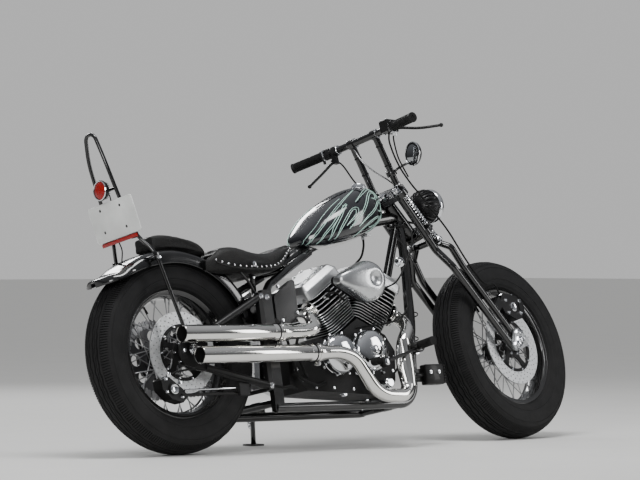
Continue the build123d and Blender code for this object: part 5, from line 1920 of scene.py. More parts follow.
@dataclass
class Seating(Assembly):
    """The solo seat with its studs and piping, its bracket, and the pillion pad."""

    stud: float = 3.6

    def edge(self, side: int) -> list[Vector]:
        """The seat's lower edge on one side, from its nose to the rear lobe's corner.

        Args:
            side: 1 for the left side and -1 for the right.

        Returns:
            The places along it.
        """
        places = [
            (580, 40, 697), (540, 58, 682), (500, 82, 660), (450, 110, 628), (400, 128, 607), (345, 138, 599),
            (290, 143, 598), (240, 141, 600), (200, 136, 606), (165, 127, 616), (145, 120, 626)
        ]
        return eased([(x, side * y, z) for x, y, z in places], 6)

    def build(self) -> list[bpy.types.Object]:
        """Makes and dresses the pieces.

        Returns:
            The pieces, each one an object.
        """
        saddle = Make.piece(
            "saddle", Stuffing.swell("saddle", "seat", 0.006, 0.006, 3.0, 0.004), Body.FRAME, LEATHER, 180, ["seat"],
            True
        )
        pillion = Make.piece(
            "pillion", Stuffing.swell("pillion", "pillion_pad", 0.005, 0.008, 4.0, 0.005), Body.FRAME, LEATHER, 180,
            ["pillion_pad"], True
        )
        pan = Shape()
        dot = Shape().spun(
            [(self.stud, 0), (self.stud * 0.95, 0.9), (self.stud * 0.6, 2.1), (0, 2.6)], (0, 0, 0), (0, 0, 1), 10
        )
        rows = []
        for side in (-1, 1):
            line = [p + Vector((0, side * 3.0, 7)) for p in self.edge(side)[8:]]
            pan.tube([p + Vector((0, side * 1.0, -1)) for p in self.edge(side)], 3.4, 10)
            pan.tube([p + Vector((0, side * 0.6, 12)) for p in self.edge(side)[10:]], 1.0, 6)
            rows.append(self.outward(line, dot, side))
        studs = join(*[(row, 0) for row in rows])
        bracket = Shape()
        for s in (-1, 1):
            bracket.box((344, s * 66, 560), (20, 6, 76), soft=1.5)
            bracket.box((344, s * 66, 594), (30, 22, 5), soft=1.5)
            bracket.screw((344, s * 69, 582), (0, s, 0), 5.5, 1)
            bracket.tube(bent([(325, s * 92, 521), (300, s * 98, 560), (262, s * 104, 592)]), 4.5, 10)
            bracket.nut((325, s * 92, 521), (-0.3, s * 0.9, 0), 7.5, 5, 1)
            bracket.spun(
                [(5.5, 0), (8.5, 0), (9, 1), (9, 2.4), (7, 3.6), (0, 4.2)], (291, s * 146, 614), (0, s, 0), 18, 1
            )
        bracket.rod((344, -72, 555), (344, 72, 555), 6, 1)
        made = [saddle, pillion]
        made.append(Make.piece("saddle_piping", pan, Body.FRAME, LEATHER_EDGE, 60))
        made.append(Make.piece("saddle_studs", studs, Body.FRAME, CHROME, 60))
        made.append(Make.piece("saddle_bracket", bracket, Body.FRAME, [SATIN_BLACK, CHROME], 32, ["seat_bracket"]))
        return made

    def outward(self, line: Sequence[Vector], dot: Shape, side: int) -> Shape:
        """A row of studs that face outwards and a little down.

        Args:
            line: the places the row goes through.
            dot: one stud.
            side: 1 for the left side and -1 for the right.

        Returns:
            The row.
        """
        turn = Vector((0, 0, 1)).rotation_difference(Vector((-0.12, side * 0.97, -0.2)).normalized()).to_matrix()
        aimed = Shape().add([turn @ p for p in dot.points], dot.faces)
        return Repeat.run("along", aimed, 19, CHROME, path=[tuple(p) for p in line])


@dataclass
class Tail(Assembly):
    """The rear fender, the tall bar, the plate, its lamp and the red strip."""

    radius: float = 348.0
    half: float = 82.0
    rear: float = 126.0
    front: float = 22.0
    tail: float = 92.0
    drop: float = 12.0
    plate_tilt: float = 12.7
    lamp_z: float = 885.0
    right_leg: tuple[Point, ...] = (
        (-17, -124.8, 365), (-92, -108, 640), (-104, -98, 672), (-135, -60, 727), (-178, -50, 855), (-216, -42, 985),
        (-232, -22, 1072),
    )

    def skirt(self, s: float) -> float:
        """How far the fender's sides hang down at a share of its arch."""
        return 48 - 22 * max(0.0, (s - 0.72) / 0.28) ** 1.6

    def fender(self) -> Shape:
        """A rolled fender that runs from its front end over the wheel into a rounded tail.

        Returns:
            The fender.
        """
        rings = []

        def ring(at: Vector, out: Vector, half: float, skirt: float, thick: float = 3.0) -> list[Vector]:
            """One rolled section of the fender.

            Args:
                at: where its top is.
                out: the direction away from the wheel.
                half: half its width.
                skirt: how far its sides hang down.
                thick: the sheet's thickness.

            Returns:
                Its points.
            """
            edge = 30.0 if half > 40 else half * 0.5
            outer = [(-skirt, half + 2), (-skirt + 5, half + 2.6)]
            for k in range(7):
                a = math.pi / 2 * k / 6
                outer.append((-edge * 0.72 + edge * 0.72 * math.sin(a), half - edge + edge * math.cos(a)))
            flat = outer + [(0.9, (half - edge) * 0.5), (1.2, 0)]
            whole = flat + [(x, -y) for x, y in reversed(flat[:-1])]
            inner = [
                (x - (thick if abs(y) < half - 1 else 0), y - math.copysign(thick if abs(y) >= half - edge else 0, y))
                for x, y in reversed(whole)
            ]
            return [at + out * x + Vector((0, 1, 0)) * y for x, y in whole + inner]

        steps = 44
        for k in range(steps + 1):
            a = math.radians(self.front + (self.rear - self.front) * k / steps)
            out = Vector((math.cos(a), 0, math.sin(a)))
            rings.append(ring(Vector((0, 0, AXLE)) + out * self.radius, out, self.half, self.skirt(k / steps)))
        a = math.radians(self.rear)
        start = Vector((math.cos(a), 0, math.sin(a))) * self.radius + Vector((0, 0, AXLE))
        first = Vector((-math.sin(a), 0, math.cos(a)))
        lie = Vector((-math.cos(math.radians(self.drop)), 0, -math.sin(math.radians(self.drop))))
        at = start.copy()
        count = 16
        for k in range(1, count + 1):
            s = k / count
            way = (first.lerp(lie, min(1.0, s * 2.2))).normalized()
            at = at + way * self.tail / count
            out = Vector((way.z, 0, -way.x))
            out = out if out.z > 0 else -out
            half = self.half * math.sqrt(max(1 - (max(0.0, s - 0.12) / 0.88) ** 2.6, 0.0)) * 0.94 + self.half * 0.06
            sink = 16 * max(0.0, s - 0.55) ** 1.4
            rings.append(ring(at - out * sink, out, max(half, 12), 26 - 3 * s))
        return Shape().rings(rings)

    def beads(self) -> Shape:
        """The rolled bead along both edges of the fender.

        Returns:
            The two beads.
        """
        out = Shape()
        for side in (-1, 1):
            path = []
            for k in range(40):
                s = k / 39
                a = math.radians(self.front + (self.rear - self.front) * s)
                r = self.radius - self.skirt(s)
                path.append((r * math.cos(a), side * (self.half + 1.4), AXLE + r * math.sin(a)))
            out.tube(path, 2.4, 8)
        return out

    def bar(self) -> Shape:
        """The tall loop with its bosses, cross piece and bolts, marked 1 for bright bolts.

        Returns:
            The loop.
        """
        route = [*self.right_leg, *((x, -y, z) for x, y, z in reversed(self.right_leg))]
        out = Shape().tube(bent(route), 6.5, 18)
        for s in (-1, 1):
            out.rod((-17, s * 118.3, 365), (-17, s * 130, 365), 12, 1.5)
            out.nut((-17, s * 130, 365), (0, s, 0), 9, 7, 1)
            out.rod((-92, s * 84, 641), (-92, s * 108, 641), 7, 1)
            out.box((-98, s * 109, 655), (22, 4, 15), soft=1.2)
            out.screw((-92, s * 112, 641), (0, s, 0), 7, 1)
            for z, face in ((760, 1.5), (830, 1.5), (722, 4.0)):
                at = self.leg(z)
                at = Vector((at.x, s * abs(at.y), z))
                normal = Vector((math.cos(math.radians(self.plate_tilt)), 0, math.sin(math.radians(self.plate_tilt))))
                depth = (at - Vector((-176, 9, 791))).dot(normal) - face
                out.rod(at, at - normal * depth, 5)
        cross = self.leg(self.lamp_z)
        return out.rod(cross, (cross.x, -cross.y, cross.z), 5)

    def leg(self, z: float) -> Vector:
        """The place on the right leg at a height.

        Args:
            z: the height.

        Returns:
            The place.
        """
        for low, high in zip(self.right_leg, self.right_leg[1:]):
            if low[2] <= z <= high[2]:
                return Vector(low).lerp(Vector(high), (z - low[2]) / (high[2] - low[2]))
        return Vector(self.right_leg[-1])

    def build(self) -> list[bpy.types.Object]:
        """Makes and dresses the pieces.

        Returns:
            The pieces, each one an object.
        """
        plate, strip, lamp, glass = Shape(), Shape(), Shape(), Shape()
        tilt = Matrix.Rotation(math.radians(-self.plate_tilt), 3, "Y") @ Matrix.Rotation(math.radians(-1.8), 3, "X")
        at = Vector((-172, -5, 787))
        corners = []
        for cy, cz in ((1, 1), (-1, 1), (-1, -1), (1, -1)):
            for k in range(6):
                a = math.atan2(cz, cy) - math.pi / 4 + math.pi / 2 * k / 5
                corners.append((cy * 108 + 10 * math.cos(a), cz * 52.5 + 10 * math.sin(a)))
        order = sorted(corners, key=lambda p: math.atan2(p[1], p[0]))
        rings = [
            [at + tilt @ Vector((x, y * (1 - inset), z * (1 - inset))) for y, z in order]
            for x, inset in ((1.4, 0), (-0.9, 0), (-1.5, 0.008))
        ]
        plate.rings(rings)
        rim = [
            [at + tilt @ Vector((x, y * k, z * (1 - (1 - k) * 1.9))) for y, z in order]
            for x, k in ((-1.4, 0.992), (-2.3, 0.985), (-2.3, 0.978), (-1.4, 0.972))
        ]
        plate.rings(rim, 0, False, True)
        for y in (-52, 52):
            for z in (-40, 40):
                plate.nut(at + tilt @ Vector((1.4, y, z)), tilt @ Vector((1, 0, 0)), 5.5, 4, 1)
        place = at + tilt @ Vector((-4, 0, -71))
        strip.box(place, (8, 186, 13), tilt, 2.2)
        strip.box(place + tilt @ Vector((4, 0, 2)), (3, 190, 16), tilt, 1.2, 1)
        back, z = self.leg(self.lamp_z).x - 5.3, self.lamp_z
        way = (-1, 0, 0)
        lamp.spun(
            [
                (0, 0), (20, 0), (24, 2), (30, 9), (33, 15), (34.5, 18), (34.5, 22), (33, 24.5), (30.5, 25), (29.5, 23),
                (29.5, 19), (0, 19)
            ],
            (back, 0, z), way, 48
        )
        lamp.spun([(30.2, 22), (33.2, 22), (33.6, 24.4), (31.5, 26.4), (29.8, 25)], (back, 0, z), way, 48, 1, True)
        rib = Shape().box((27.5, 0, 6), (2.2, 1.6, 12), soft=0.4)
        turns = along_of((0, 0, 0), way)
        spot = Matrix.Translation((back, 0, z)) @ Matrix((turns[1], turns[2], turns[0])).transposed().to_4x4()
        lamp = join((lamp, -1), (Repeat.run("turns", rib, 24, SATIN_BLACK, step=(0, 0, math.pi / 12), place=spot), 0))
        glass.spun([(29.6, 18.5), (29.2, 23), (25, 26.5), (15, 29.6), (0, 31)], (back, 0, z), way, 48)
        lead = Shape().tube(
            eased([
                (back + 4, 2, z - 8), (-172, 4, 866), (-158, 14, 800), (-138, 30, 730), (-128, 28, 692),
                (-140, 20, 655), (-150, 10, 640)
            ]),
            2.2, 8
        )
        return [
            Make.piece(
                "rear_fender_shell", join((self.fender(), 0), (self.beads(), 0)), Body.FRAME, GLOSS_BLACK, 42,
                ["rear_fender"]
            ),
            Make.piece("tall_bar", self.bar(), Body.FRAME, [GLOSS_BLACK, CHROME], 34, ["sissy_bar"]),
            Make.piece("blank_plate", plate, Body.FRAME, [WHITE_PLATE, STEEL], 30, ["number_plate"]),
            Make.piece("red_strip", strip, Body.FRAME, [RED_LENS, SATIN_BLACK], 34, ["reflector_bar"]),
            Make.piece("round_lamp", lamp, Body.FRAME, [SATIN_BLACK, CHROME], 34, ["tail_lamp"]),
            Make.piece("round_lamp_glass", glass, Body.FRAME, RED_LENS, 40),
            Make.piece("lamp_lead", lead, Body.FRAME, GRIP_RUBBER, 60),
        ]


# Engine


@dataclass
class Engine(Assembly):
    """Finned cylinders, their covers, the air cleaner, the case and what is bolted to it."""

    tilts: tuple[float, float] = (REAR_TILT, FRONT_TILT)
    bowl: Vector = field(default_factory=lambda: Vector((757, 547)))
    bowl_radius: float = 72.0
    point: Vector = field(default_factory=lambda: Vector((640, 552)))
    point_radius: float = 21.0

    def ring(
        self, tilt: float, height: float, inset: float, half: tuple[float, float] = (94.0, 88.0), corner: float = 18.0
    ) -> list[Vector]:
        """A rounded rectangle across a cylinder's axis.

        Args:
            tilt: how far the cylinder leans forward, in degrees.
            height: distance above the crank.
            inset: how far it is drawn in all round.
            half: half its length and half its width.
            corner: its corner radius.

        Returns:
            Its points.
        """
        out = []
        soft = max(corner - inset * 0.5, 3)
        for n, (su, sv) in enumerate(((1, 1), (-1, 1), (-1, -1), (1, -1))):
            for k in range(6):
                a = math.pi / 2 * (n + k / 5)
                x, z = deck(tilt, su * (half[0] - inset - soft) + soft * math.cos(a), height)
                out.append(Vector((x, sv * (half[1] - inset - soft) + soft * math.sin(a), z)))
        return out

    def lid(self, tilt: float) -> Shape:
        """A rocker cover with a bevelled crown, a joint line and ten screws.

        Args:
            tilt: how far the cylinder leans forward, in degrees.

        Returns:
            The cover.
        """
        steps = [
            (275, 0.8), (275.8, 0), (279.4, 0), (280, 1.6), (281.4, 1.6), (282, 0), (304, 0), (307.5, 1.2),
            (309.5, 3.2), (324, 13.5), (326.5, 15.6), (327.6, 18.5), (328, 24)
        ]
        out = Shape().rings([self.ring(tilt, h, i) for h, i in steps])
        out.rings([self.ring(tilt, h, i, (52, 40), 12) for h, i in ((327, 0), (330, 0), (331.4, 1.2), (331.6, 3))])
        a = math.radians(tilt)
        up = (math.sin(a), 0, math.cos(a))
        for u in (-60, 60):
            for v in (-54, 0, 54):
                x, z = deck(tilt, u, 327.5)
                out.screw((x, v, z), up, 6.5, 1)
        for v in (-56, 56):
            for u in (-22, 22):
                x, z = deck(tilt, u, 327.5)
                out.screw((x, v, z), up, 6.5, 1)
        return out

    def fin_edges(self, tilt: float) -> list[tuple[Shape, int]]:
        """The machined bright edges of a cylinder's fins.

        Args:
            tilt: how far the cylinder leans forward, in degrees.

        Returns:
            The edges of the barrel's fins and of the head's, each with its mark.
        """
        place = Matrix.Translation((CRANK[0], 0, CRANK[1])) @ Matrix.Rotation(math.radians(tilt), 4, "Y")
        path = []
        for n, (su, sv) in enumerate(((1, 1), (-1, 1), (-1, -1), (1, -1))):
            for k in range(6):
                a = math.pi / 2 * (n + k / 5)
                path.append((su * 54 + 34 * math.cos(a), sv * 56 + 34 * math.sin(a), 0))
        edge = Shape().tube(path, 1.5, 6, 0, True)
        return [
            (
                Repeat.run(
                    "row", edge, 9, BRUSHED, step=(0, 0, 9.556), start=(0, 0, 122.6), first_size=0.84, growth=0.018,
                    place=place
                ),
                0
            ),
            (Repeat.run("row", edge, 5, BRUSHED, step=(0, 0, 15.75), start=(0, 0, 209.5), place=place), 0),
        ]

    def cleaner(self) -> Shape:
        """The air cleaner's teardrop cover with its round dish and screw.

        Returns:
            The cover.
        """
        profile = [
            (-165.6, 6), (-165.6, 2), (-168, 0), (-182, 0), (-190, 0.6), (-197, 2.2), (-204, 5.5), (-210, 10),
            (-215, 15.5), (-219, 22), (-222, 29), (-224, 36), (-224.6, 41), (-223.6, 45), (-220.5, 49), (-216, 53),
            (-212.5, 58), (-210.8, 64), (-210.4, 71.9)
        ]
        rings = []
        for y, inset in profile:
            move = min(max((inset - 2) / 39, 0.0), 1.0)
            big = self.bowl + Vector((10 * move, 5 * move))
            small = self.point.lerp(big, move ** 1.15)
            wide = self.bowl_radius - inset
            slim = max(self.point_radius * (1 - inset / self.bowl_radius), 0.02)
            sizes = (wide, slim * (1 - move) + wide * move * 0.98)
            rings.append([Vector((p.x, y, p.y)) for p in belt(((big, sizes[0]), (small, sizes[1])), 72)])
        out = Shape().rings(rings)
        return out.screw((676, -212, 551), (0, -1, 0.03), 7.5, 1)

    def rounds(self) -> Shape:
        """The two domed round covers with their screws.

        Returns:
            The covers.
        """
        out = Shape()
        for x, z, size, face in DOMES:
            deep = -78 - face
            dome = [
                (size, 0), (size, deep * 0.30), (size + 1.6, deep * 0.31), (size + 1.6, deep * 0.36),
                (size, deep * 0.37), (size, deep * 0.66)
            ]
            dome += [
                (size - 1.5, deep * 0.74), (size - 6, deep * 0.83), (size - 14, deep * 0.905),
                (size - 28, deep * 0.965), (size - 46, deep * 0.99), (0, deep)
            ]
            out.spun([(0, 0)] + dome, (x, -78, z), (0, -1, 0), 72)
            out.spun(
                [(17, deep - 1.5), (17, deep + 0.4), (15.6, deep + 1.2), (0, deep + 2.2)], (x, -78, z), (0, -1, 0), 40
            )
        rows = []
        for x, z, size, _ in DOMES:
            item = Shape().screw((size + 8, 0, 0), (0, -1, 0), 4.4)
            place = Matrix.Translation((x, -112, z))
            rows.append((
                Repeat.run("turns", item, 8, CHROME, step=(0, math.pi / 4, 0), start=(0, 0.3, 0), place=place), 0
            ))
        return join((out, 0), *rows)

    def case(self) -> Shape:
        """Bolts, bosses, a drain plug, plates and a dip stick on the engine, marked 1 where bright.

        Returns:
            The details.
        """
        out = Shape()
        outline = [
            (575, 262), (640, 240), (720, 240), (800, 240), (850, 240), (872, 300), (852, 366), (735, 372), (610, 360),
            (572, 318)
        ]
        for x, z in outline:
            out.rod((x, -110, z), (x, -114, z), 8.5, 0.8)
            out.screw((x, -114, z), (0, -1, 0), 5.2, 1)
        for x, z in ((505, 225), (560, 200), (640, 196), (730, 190), (820, 184), (885, 200), (925, 250), (938, 300)):
            out.screw((x, -78, z), (0, -1, 0), 5.5, 1)
        out.nut((700, -60, 178), (0, 0, -1), 12, 8, 1)
        out.spun([(13, 0), (14, 4), (14, 12), (10, 15), (0, 16)], (905, -60, 316), (0.2, -0.8, 0.5), 18, 1)
        for tilt in self.tilts:
            side = -1 if tilt < 0 else 1
            for v in (-1, 1):
                x, z = deck(tilt, side * 12, 240)
                out.rod((x, v * 60, z), (x + side * 4, v * 96, z + 6), 7, 1)
                out.nut((x + side * 2, v * 78, z + 3), (side * 0.1, v, 0.15), 11, 7, 1)
                x, z = deck(tilt, 0, 262)
                out.rod((x, v * 66, z), (x, v * 93, z), 9, 1.5)
        for s in (-1, 1):
            for x, z in ((900, 178), (930, 168), (478, 262), (478, 300)):
                out.nut((x, s * 74 if s > 0 else -80, z), (0, s, 0), 8, 6, 1)
        out.slab([(905, 120), (955, 120), (950, 215), (925, 240), (895, 205)], -20, 20, 1.5)
        out.slab([(462, 215), (486, 206), (492, 320), (470, 330)], -60, 52, 1.5)
        out.rod((352, -82, 200), (352, 82, 200), 8, 1)
        return out

    def leads(self) -> Shape:
        """Black plug leads, hoses and an oil line that run over the engine.

        Returns:
            The lines.
        """
        rear, front = deck(REAR_TILT, -12, 252), deck(FRONT_TILT, 12, 252)
        runs = [
            (3.6, 10, [(rear[0], -94, rear[1]), (rear[0] + 16, -112, rear[1] + 2), (690, -112, 508), (722, -96, 500)]),
            (
                3.6, 10,
                [(front[0], -94, front[1]), (front[0] - 12, -112, front[1] + 4), (858, -112, 512), (828, -96, 505)]
            ),
            (3.6, 10, [(rear[0], 94, rear[1]), (rear[0] + 14, 110, rear[1] + 12), (700, 100, 560), (740, 40, 590)]),
            (3.6, 10, [(front[0], 94, front[1]), (front[0] - 12, 110, front[1] + 12), (840, 96, 570), (800, 40, 595)]),
            (
                3.2, 10,
                [
                    (1078, -30, 775), (1066, -112, 748), (1041, -135, 685), (999, -140, 621), (938, -145, 556),
                    (891, -130, 534), (850, -90, 520)
                ]
            ),
            (
                3.2, 10,
                [
                    (1074, -30, 740), (1056, -78, 690), (1035, -104, 586), (1017, -112, 491), (965, -116, 433),
                    (891, -115, 412), (800, -96, 404), (770, -60, 400)
                ]
            ),
            (5, 12, [(520, -84, 236), (500, -96, 252), (480, -92, 330), (500, -88, 390), (470, -70, 430)]),
            (5, 12, [(600, -84, 214), (540, -100, 205), (470, -98, 240), (452, -92, 330), (440, -80, 425)]),
        ]
        out = Shape()
        for radius, sides, places in runs:
            out.tube(eased(places), radius, sides)
        return out

    def build(self) -> list[bpy.types.Object]:
        """Makes and dresses the pieces.

        Returns:
            The pieces, each one an object.
        """
        edges = [part for tilt in self.tilts for part in self.fin_edges(tilt)]
        carb = Shape().tube(bent([(755, -40, 563), (812, -40, 563)]), 16, 24)
        carb.spun(
            [(22, 0), (22, 20), (25, 21), (25, 26), (22, 27), (22, 70), (26, 71), (26, 78), (24, 79), (24, 110)],
            (784, -40, 563), (0, -1, 0), 30
        )
        carb.box((784, -116, 539), (38, 34, 46), soft=4)
        carb.box((784, -116, 520), (42, 38, 6), soft=1.5)
        for x in (768, 800):
            for y in (-130, -102):
                carb.screw((x, y, 517), (0, 0, -1), 4, 1)
        carb.rod((784, -116, 560), (784, -116, 604), 15, 2)
        carb.spun([(13, 0), (15, 3), (15, 10), (6, 14), (4, 24), (0, 24)], (784, -116, 600), (0, 0, 1), 20, 1)
        plate = Shape().rings([
            [Vector((p.x, y, p.y)) for p in self.plate_line(inset)]
            for y, inset in ((-150, 4), (-151, 3), (-163, 3), (-165, 4))
        ])
        can = Shape().spun(
            [(18, 0), (18, 6), (17, 7), (17, 80), (15.5, 84), (10, 86), (0, 86)], (831, -78, 197), (0, -1, 0), 36
        )
        can.spun([(19, 8), (19.6, 9), (19.6, 13), (19, 14)], (831, -78, 197), (0, -1, 0), 36, 0, True)
        left = Shape()
        for x, z, size, low, high in ((835, 280, 62, 132, 142), (566, 285, 48, 132, 138)):
            left.spun(
                [
                    (size, low - 132), (size, high - 132 - 2), (size - 2.5, high - 132), (size - 8, high - 131),
                    (size - 22, high - 129), (0, high - 128)
                ],
                (x, 132, z), (0, 1, 0), 56
            )
        for x, z in (
            (490, 240), (545, 216), (640, 208), (735, 198), (830, 190), (890, 192), (930, 245), (918, 322), (856, 358),
            (760, 357), (660, 356), (570, 354), (494, 322), (480, 280)
        ):
            left.rod((x, 130, z), (x, 134, z), 8, 0.8)
            left.screw((x, 134, z), (0, 1, 0), 5.2, 1)
        ribs = Shape().box((0, 0, 0), (3, 3, 92), soft=0.8)
        left = join((left, -1), (Repeat.run("row", ribs, 9, POLISHED, step=(11.5, 0, 0), start=(654, 133, 280)), 0))
        return [
            Make.piece("fin_edges", join(*edges), Body.FRAME, BRUSHED, 40),
            Make.piece(
                "rocker_lid_rear", self.lid(REAR_TILT), Body.FRAME, [SATIN_ALUMINIUM, CHROME], 30, ["rocker_cover_rear"]
            ),
            Make.piece(
                "rocker_lid_front", self.lid(FRONT_TILT), Body.FRAME, [SATIN_ALUMINIUM, CHROME], 30,
                ["rocker_cover_front"]
            ),
            Make.piece("cleaner_cover", self.cleaner(), Body.FRAME, [BRUSHED, CHROME], 60, ["air_cleaner"]),
            Make.piece("domed_covers", self.rounds(), Body.FRAME, CHROME, 50, ["round_covers"]),
            Make.piece("case_details", self.case(), Body.FRAME, [ENGINE_BLACK, CHROME], 34),
            Make.piece("leads", self.leads(), Body.FRAME, GRIP_RUBBER, 60),
            Make.piece("carburettor_body", carb, Body.FRAME, [CAST, CHROME], 34, ["carburettor"]),
            Make.piece("cleaner_plate", plate, Body.FRAME, SATIN_BLACK, 34),
            Make.piece("filter_can", can, Body.FRAME, CHROME, 40),
            Make.piece("left_cover_details", left, Body.FRAME, [POLISHED, CHROME], 40),
        ]

    def plate_line(self, inset: float) -> list[Vector]:
        """The air cleaner's outline drawn in by an amount."""
        return belt(((self.bowl, self.bowl_radius - inset), (self.point, self.point_radius - inset)), 56)


# Fork, headlight and bars


def bar_point(y: float) -> Vector:
    """The place on the bar at a distance to the left.

    Args:
        y: the distance to the left.

    Returns:
        The place.
    """
    s = (abs(y) - 70) / 214
    return Vector(STANCE.fork(RISER_TOP[0] + 29 * s, RISER_TOP[1] - 64 * s, y))


@dataclass
class Front(Assembly):
    """The springer fork's small parts, the ribbed headlight, and the front brake's parts."""

    def bright(self) -> Shape:
        """Nuts, bolts, caps and pins of the fork.

        Returns:
            The bright parts.
        """
        f = STANCE.fork
        up = Vector(f(1, 0)) - Vector(f(0, 0))
        out = Shape()
        for y in (-60, 60):
            out.nut(f(716, 8, y), up, 15.5, 14)
            out.spun([(17, -2), (18, 0), (18, 2)], f(716, 8, y), up, 24, 0, True)
        out.nut(f(716, 0, 0), up, 19.5, 14)
        for s in (-1, 1):
            for h, a in ROCKER_BOLTS:
                out.nut(f(h, a, s * 116.8), (0, s, 0), 13, 9)
            out.nut(f(0, 0, s * 117), (0, s, 0), 17, 6)
            out.spun([(9, 0), (9, 8), (7, 11), (0, 12)], f(0, 0, s * 122), (0, s, 0), 24)
            out.nut(f(474, 17, s * 74), -up, 8.5, 7)
            out.nut(f(690, 38, s * SPRING_Y), up, 11, 12)
            for h in (488, 523, 552, 668):
                out.spun([(5, 0), (15.5, 0), (15.5, 2.6), (5, 2.6)], f(h, 38, s * SPRING_Y), up, 28, 0, True)
            out.spun([(8, 0), (14, 1), (15.5, 3), (15.5, 7), (8, 9)], f(672, 38, s * SPRING_Y), up, 28, 0, True)
            out.screw(f(533, 36, s * 74), (math.cos(math.radians(40)), 0, math.sin(math.radians(40))), 6)
        out.nut(f(474, 38, 68), (0, 1, 0), 10, 7)
        out.nut(f(474, 38, -68), (0, -1, 0), 10, 7)
        return out

    def rockers(self) -> Shape:
        """The two rocker plates with rounded edges.

        Returns:
            The plates.
        """
        out = Shape()
        places = [Vector((p[0], p[2])) for p in (STANCE.fork(h, a) for h, a in (*ROCKER_BOLTS, (0, 0)))]
        circles = list(zip(places, (19.0, 19.0, 20.0)))
        for s in (-1, 1):
            rings = []
            for y, inset in ((108.9, 1.2), (109.9, 0), (115.7, 0), (116.8, 1.2), (116.8, 4.5), (115.6, 5.5)):
                rings.append([Vector((p.x, s * y, p.y)) for p in belt(circles, 64, inset)])
            out.rings(rings)
        return out

    def lamp(self) -> tuple[Shape, Shape]:
        """The headlight: its ribbed shell with the bright rim, and its glass.

        Returns:
            The shell, then the glass.
        """
        x, _, z = STANCE.fork(537, 187, 0)
        shell = Shape()
        bowl = [
            (0, -80), (14, -79.5), (22, -78), (34, -72), (44, -65), (50, -58), (55, -49), (58, -40), (60, -28),
            (60, -16), (60, -1), (57, 0), (55, -10), (40, -40), (16, -56), (0, -58)
        ]
        shell.spun(bowl, (x, 0, z), (1, 0, 0), 72)
        rib = Shape().tube(
            [(-70.5, 0, 37.5), (-62, 0, 48), (-52, 0, 54.5), (-40, 0, 58.6), (-28, 0, 60.4), (-17, 0, 60.6)],
            [1.6, 3.2, 3.8, 4.0, 3.8, 2.2], 6
        )
        ribs = Repeat.run(
            "turns", rib, 24, SATIN_BLACK, step=(2 * math.pi / 24, 0, 0), place=Matrix.Translation((x, 0, z))
        )
        rim = Shape().spun(
            [(57.5, 6), (57.5, -2), (60, -14), (62, -16), (64, -14), (65, -6), (65, 2), (63.5, 5.5), (60.5, 7.2)],
            (x, 0, z), (1, 0, 0), 72, 1, True
        )
        for a in (0.0, math.pi):
            rim.screw(
                (x - 8, 64.5 * math.sin(a + 1.2), z + 64.5 * math.cos(a + 1.2)),
                (0, math.sin(a + 1.2), math.cos(a + 1.2)), 4.4, 1
            )
        rim.spun(
            [
                (56, -3), (48, -22), (34, -36), (16, -44), (0, -46), (0, -44.5), (16, -42.5), (33, -34), (46.5, -20.5),
                (54.5, -2)
            ],
            (x, 0, z), (1, 0, 0), 56, 1
        )
        stalk = Shape().tube(bent([STANCE.fork(533, 50), STANCE.fork(533, 78), (x - 42, 0, z - 52)]), 10, 20)
        stalk.nut((x - 42, 0, z - 46), (0.2, 0, -1), 15, 9, 1)
        glass = Shape().spun([(58, 4.5), (57.5, 7), (48, 11), (34, 14), (18, 15.6), (0, 16)], (x, 0, z), (1, 0, 0), 64)
        glass.spun([(57, 3.6), (46, 8.5), (30, 12), (0, 13.6)], (x, 0, z), (1, 0, 0), 64)
        return join((shell, 0), (ribs, 0), (rim, -1), (stalk, -1)), glass

    def brake(self) -> tuple[Shape, Shape]:
        """The front caliper's body with its round face, bolts and pins, and its bright parts.

        Returns:
            The body, then the bright parts.
        """
        body, bright = Shape(), Shape()
        offsets = [(-70, 140), (-52, 178), (-20, 182), (33, 175), (68, 150), (60, 110), (38, 90), (8, 87), (-52, 110)]
        outline = [(FRONT_AXLE + dx, AXLE + dz) for dx, dz in offsets]
        body.slab(outline, -97.5, -66, 3.0)
        middle = 133
        inner = [(FRONT_AXLE + dx * 0.97, AXLE + middle + (dz - middle) * 0.95) for dx, dz in offsets]
        body.slab(inner, -44, -42.2, 0.8)
        for x, z in ((1516, 486), (1596, 486), (1520, 440), (1590, 440)):
            bright.screw((x, -97.5, z), (0, -1, 0), 7)
        bright.spun([(17, 0), (17, 3), (14, 4.5), (12, 3.4), (0, 3.4)], (1556, -97.5, 463), (0, -1, 0), 32)
        bright.nut((1516, -84, 508), (0, 0, 1), 8, 6)
        bright.spun([(4, 0), (6, 1), (6, 5), (4.5, 7), (2, 12), (0, 12)], (1584, -80, 505), (0.1, 0, 1), 14)
        return body, bright

    def build(self) -> list[bpy.types.Object]:
        """Makes and dresses the pieces.

        Returns:
            The pieces, each one an object.
        """
        lamp, glass = self.lamp()
        body, bright = self.brake()
        lead = Shape().tube(
            eased([
                (x, y, z)
                for x, y, z in (
                    STANCE.fork(533, 92, 0), STANCE.fork(562, 72, 22), STANCE.fork(610, 52, 36),
                    STANCE.fork(690, 46, 40)
                )
            ]),
            4, 10
        )
        lead.tube(
            eased([
                STANCE.fork(533, 90, 8), STANCE.fork(600, 66, -30), STANCE.fork(700, 60, -36),
                STANCE.fork(820, 84, -48), STANCE.fork(905, 110, -60)
            ]),
            3, 10
        )
        return [
            Make.piece("fork_nuts", self.bright(), Body.STEERING, CHROME, 34),
            Make.piece("rocker_plates", self.rockers(), Body.STEERING, POLISHED, 34),
            Make.piece("ribbed_headlight", lamp, Body.STEERING, [SATIN_BLACK, CHROME], 42, ["headlight"]),
            Make.piece("headlight_glass", glass, Body.STEERING, CLEAR_LENS, 50),
            Make.piece("caliper_face", body, Body.STEERING, SATIN_BLACK, 34),
            Make.piece("caliper_bolts", bright, Body.STEERING, CHROME, 34),
            Make.piece("headlight_lead", lead, Body.STEERING, GRIP_RUBBER, 60),
        ]


